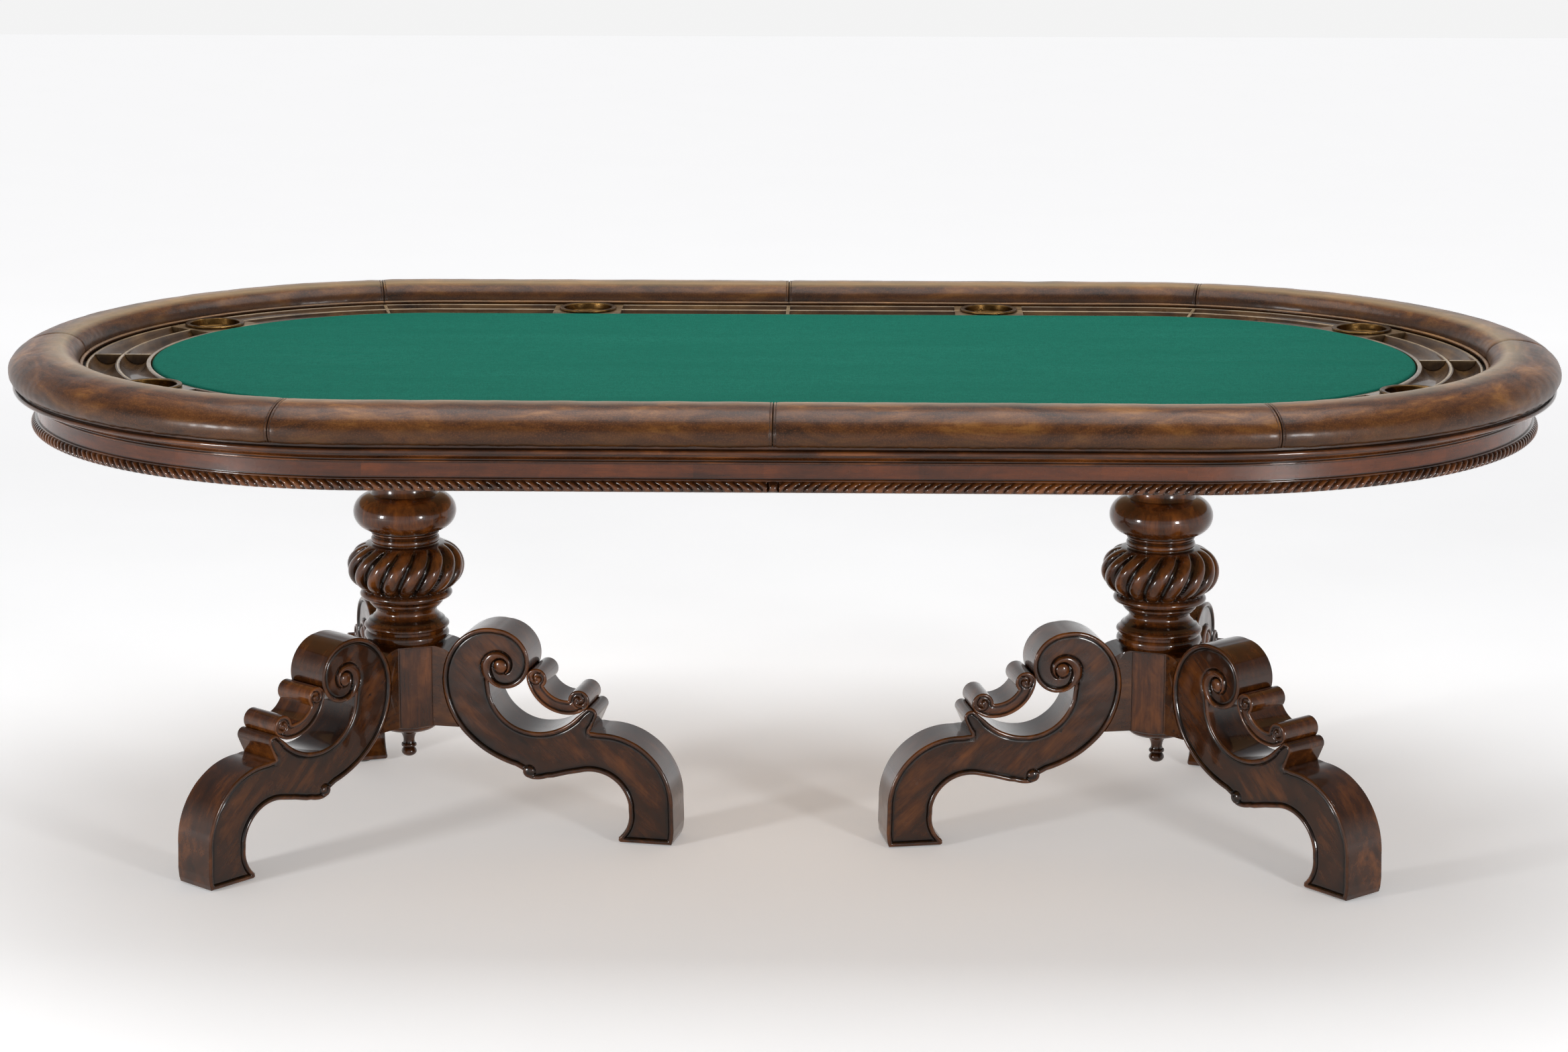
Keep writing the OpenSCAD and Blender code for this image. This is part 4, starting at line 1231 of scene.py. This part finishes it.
def hub_facets(side, word):
    """The three boards that face the hub between its arms."""
    low, high = box(f"{word}_hub")
    half_w, face, behind = 26.4, 61.5, 56
    edge_in, edge_down = np.array([0, 0.5, 1.8]), np.array([2.9, 0.9, 0.2])
    across = np.concatenate([edge_in - half_w, [-22, -17, -9, 0, 9, 17, 22], (half_w - edge_in)[::-1]])
    proud = face - np.concatenate([edge_down, np.zeros(7), edge_down[::-1]])
    outline = np.concatenate([np.stack([proud, across], 1), [[behind, half_w], [behind, -half_w]]])
    middle = np.linspace(low[2] + 12, high[2] - 12, 8)
    levels = np.array([low[2] + 1.2, low[2] + 3, *middle, high[2] - 3, high[2] - 1.2])
    n, m = len(levels), len(outline)
    # painted shade towards each board's sides, top and bottom
    shade = np.tile(np.exp(-(half_w - np.abs(outline[:, 1])) / 2.2), (n, 1))
    shade = np.maximum(shade, np.exp(-np.minimum(levels - low[2], high[2] - levels) / 5)[:, None] * 0.6)
    z = np.repeat(levels[:, None], m, 1)
    parts = []
    for leg_angle in LEG_ANGLES.values():
        turn = math.radians(leg_angle + 60)
        x = outline[:, 0] * math.cos(turn) - outline[:, 1] * math.sin(turn)
        y = outline[:, 0] * math.sin(turn) + outline[:, 1] * math.cos(turn)
        v = np.stack([np.tile(-side * x, (n, 1)) + side * PED, np.tile(y, (n, 1)), z], -1).reshape(-1, 3)
        grain = np.stack([v[:, 2] + leg_angle * 7, v[:, 0], v[:, 1]], 1) * 0.001
        marks = {"grain": grain, "glaze": shade.ravel() * 0.8, "worn": np.zeros(len(v))}
        parts.append(oriented((v, sleeve(n, m), marks)))
    put(f"{word}_hub_facets", join(parts), LACQUER, sharp=60)


def legs(side, word):
    for name, angle in LEG_ANGLES.items():
        part = on_pedestal(LEG, side, angle, 0.75)
        put(f"{word}_scroll_leg_{name}", part, LACQUER, [f"{word}_leg_{name}"], sharp=48)
    three = join([oriented(on_pedestal(BRACKET, side, a, 0.6)) for a in LEG_ANGLES.values()])
    put(f"{word}_scroll_brackets", three, LACQUER, [f"{word}_brackets"], sharp=48)


for side, word in ((-1, "left"), (1, "right")):
    column(side, word)
    hub_facets(side, word)
    finial(side, word)
    legs(side, word)


# ---------- floor glides and the CAD nodes that stay ----------
def glides():
    """Two felt discs under each foot."""
    disc = poly([[0.0, 0.0]], arc((13.2, 0.8), 0.8, -90, 0, 0.4), [[14, 2.0], [13.4, 2.5], [0.0, 2.5]])
    parts = []
    for side in (-1, 1):
        for angle in LEG_ANGLES.values():
            for out in (368, 414):
                c, s = math.cos(math.radians(angle)), math.sin(math.radians(angle))
                centre = (side * PED - side * out * c, out * s)
                parts.append(oriented(lathe(disc, centre, 40, closed=False)))
    return join(parts)


put("foot_glides", glides(), GLIDE, ["floor_glides"], weld=True)

KEPT = {"deck_board": PLY, "bearers": PLY, "play_board": PLY, "left_mounting_plate": PLY,
        "right_mounting_plate": PLY, "left_hub": HUB_WOOD, "right_hub": HUB_WOOD,
        "tie_rods": STEEL, "leg_bolts": STEEL, "mounting_screws": STEEL}
for node, finish in KEPT.items():
    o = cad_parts[node]
    o.data.materials.clear()
    o.data.materials.append(finish)
    if node.endswith("hub"):
        w = o.modifiers.new("weld", "WELD")
        w.merge_threshold = 1e-5
        ease(o, 1.6, 3, 24)


# ---------- room, light and camera ----------
def area_light(name, at, aim, size, energy):
    data = bpy.data.lights.new(name, "AREA")
    data.shape, data.size, data.size_y = "RECTANGLE", size[0], size[1]
    data.energy = energy
    o = bpy.data.objects.new(name, data)
    scene.collection.objects.link(o)
    o.location = at
    o.rotation_euler = (Vector(aim) - Vector(at)).to_track_quat("-Z", "Y").to_euler()
    o.visible_camera = False


# metres and watts
SOFTBOX, SOFTBOX_POWER = (0.5, 0.9), 78
area_light("softbox_left", (-3.3, -2.7, 0.9), (-0.2, 0, 0.5), SOFTBOX, SOFTBOX_POWER)
area_light("softbox_right", (2.7, -3.6, 0.9), (0.2, 0, 0.5), SOFTBOX, SOFTBOX_POWER)
area_light("overhead", (0, 0.4, 3.0), (0, 0, 0.7), (3.4, 2.0), 62)


def studio_world():
    """White near the horizon and dim overhead, so that the lacquer keeps its depth."""
    world = bpy.data.worlds.new("studio")
    world.use_nodes = True
    t = world.node_tree
    light = next(n for n in t.nodes if n.type == "BACKGROUND")
    height = t.nodes.new("ShaderNodeSeparateXYZ")
    t.links.new(t.nodes.new("ShaderNodeTexCoord").outputs["Generated"], height.inputs[0])
    sky = t.nodes.new("ShaderNodeValToRGB")
    t.links.new(height.outputs["Z"], sky.inputs["Fac"])
    low, high = sky.color_ramp.elements
    low.position, low.color = 0.16, (0.9, 0.9, 0.9, 1)
    high.position, high.color = 0.5, (0.26, 0.26, 0.27, 1)
    t.links.new(sky.outputs["Color"], light.inputs["Color"])
    light.inputs["Strength"].default_value = 1.0
    return world


scene.world = studio_world()


def studio_floor():
    """A pale floor that turns to plain white away from the table."""
    bm = bmesh.new()
    bmesh.ops.create_grid(bm, x_segments=8, y_segments=8, size=14)
    me = bpy.data.meshes.new("floor")
    bm.to_mesh(me)
    bm.free()
    floor = bpy.data.objects.new("floor", me)
    scene.collection.objects.link(floor)
    f = Finish("floor")
    away = f.add("ShaderNodeVectorMath", {0: f.coords()}, operation="LENGTH").outputs["Value"]
    tone = f.ramp(f.noise(f.coords(), 3, 2), (0.3, 0.9), (0.7, 0.92))
    glow = f.span(away, 1.2, 5.0, 0.2, 0.62)
    me.materials.append(f.set(Base_Color=tone, Roughness=0.85, Specular_IOR_Level=0.1,
                              Emission_Color=(1, 1, 1, 1), Emission_Strength=glow))
    return floor


studio_floor()


def studio_camera():
    """A long lens in front of the table and above it, turned a little to the left and down."""
    yaw, pitch = -0.0275, 0.1813
    camera = bpy.data.objects.new("camera", bpy.data.cameras.new("camera"))
    scene.collection.objects.link(camera)
    look = Vector((math.sin(yaw) * math.cos(pitch), math.cos(yaw) * math.cos(pitch), -math.sin(pitch)))
    right = Vector((math.cos(yaw), -math.sin(yaw), 0))
    turned = Matrix((right, right.cross(look), -look)).transposed().to_4x4()
    camera.matrix_world = Matrix.Translation((0.12, -5.4894, 1.7358)) @ turned
    camera.data.sensor_width = 36
    camera.data.lens = 83.04
    camera.data.shift_x = 0.014
    camera.data.shift_y = -0.0985
    camera.data.clip_end = 60
    return camera


scene.camera = studio_camera()
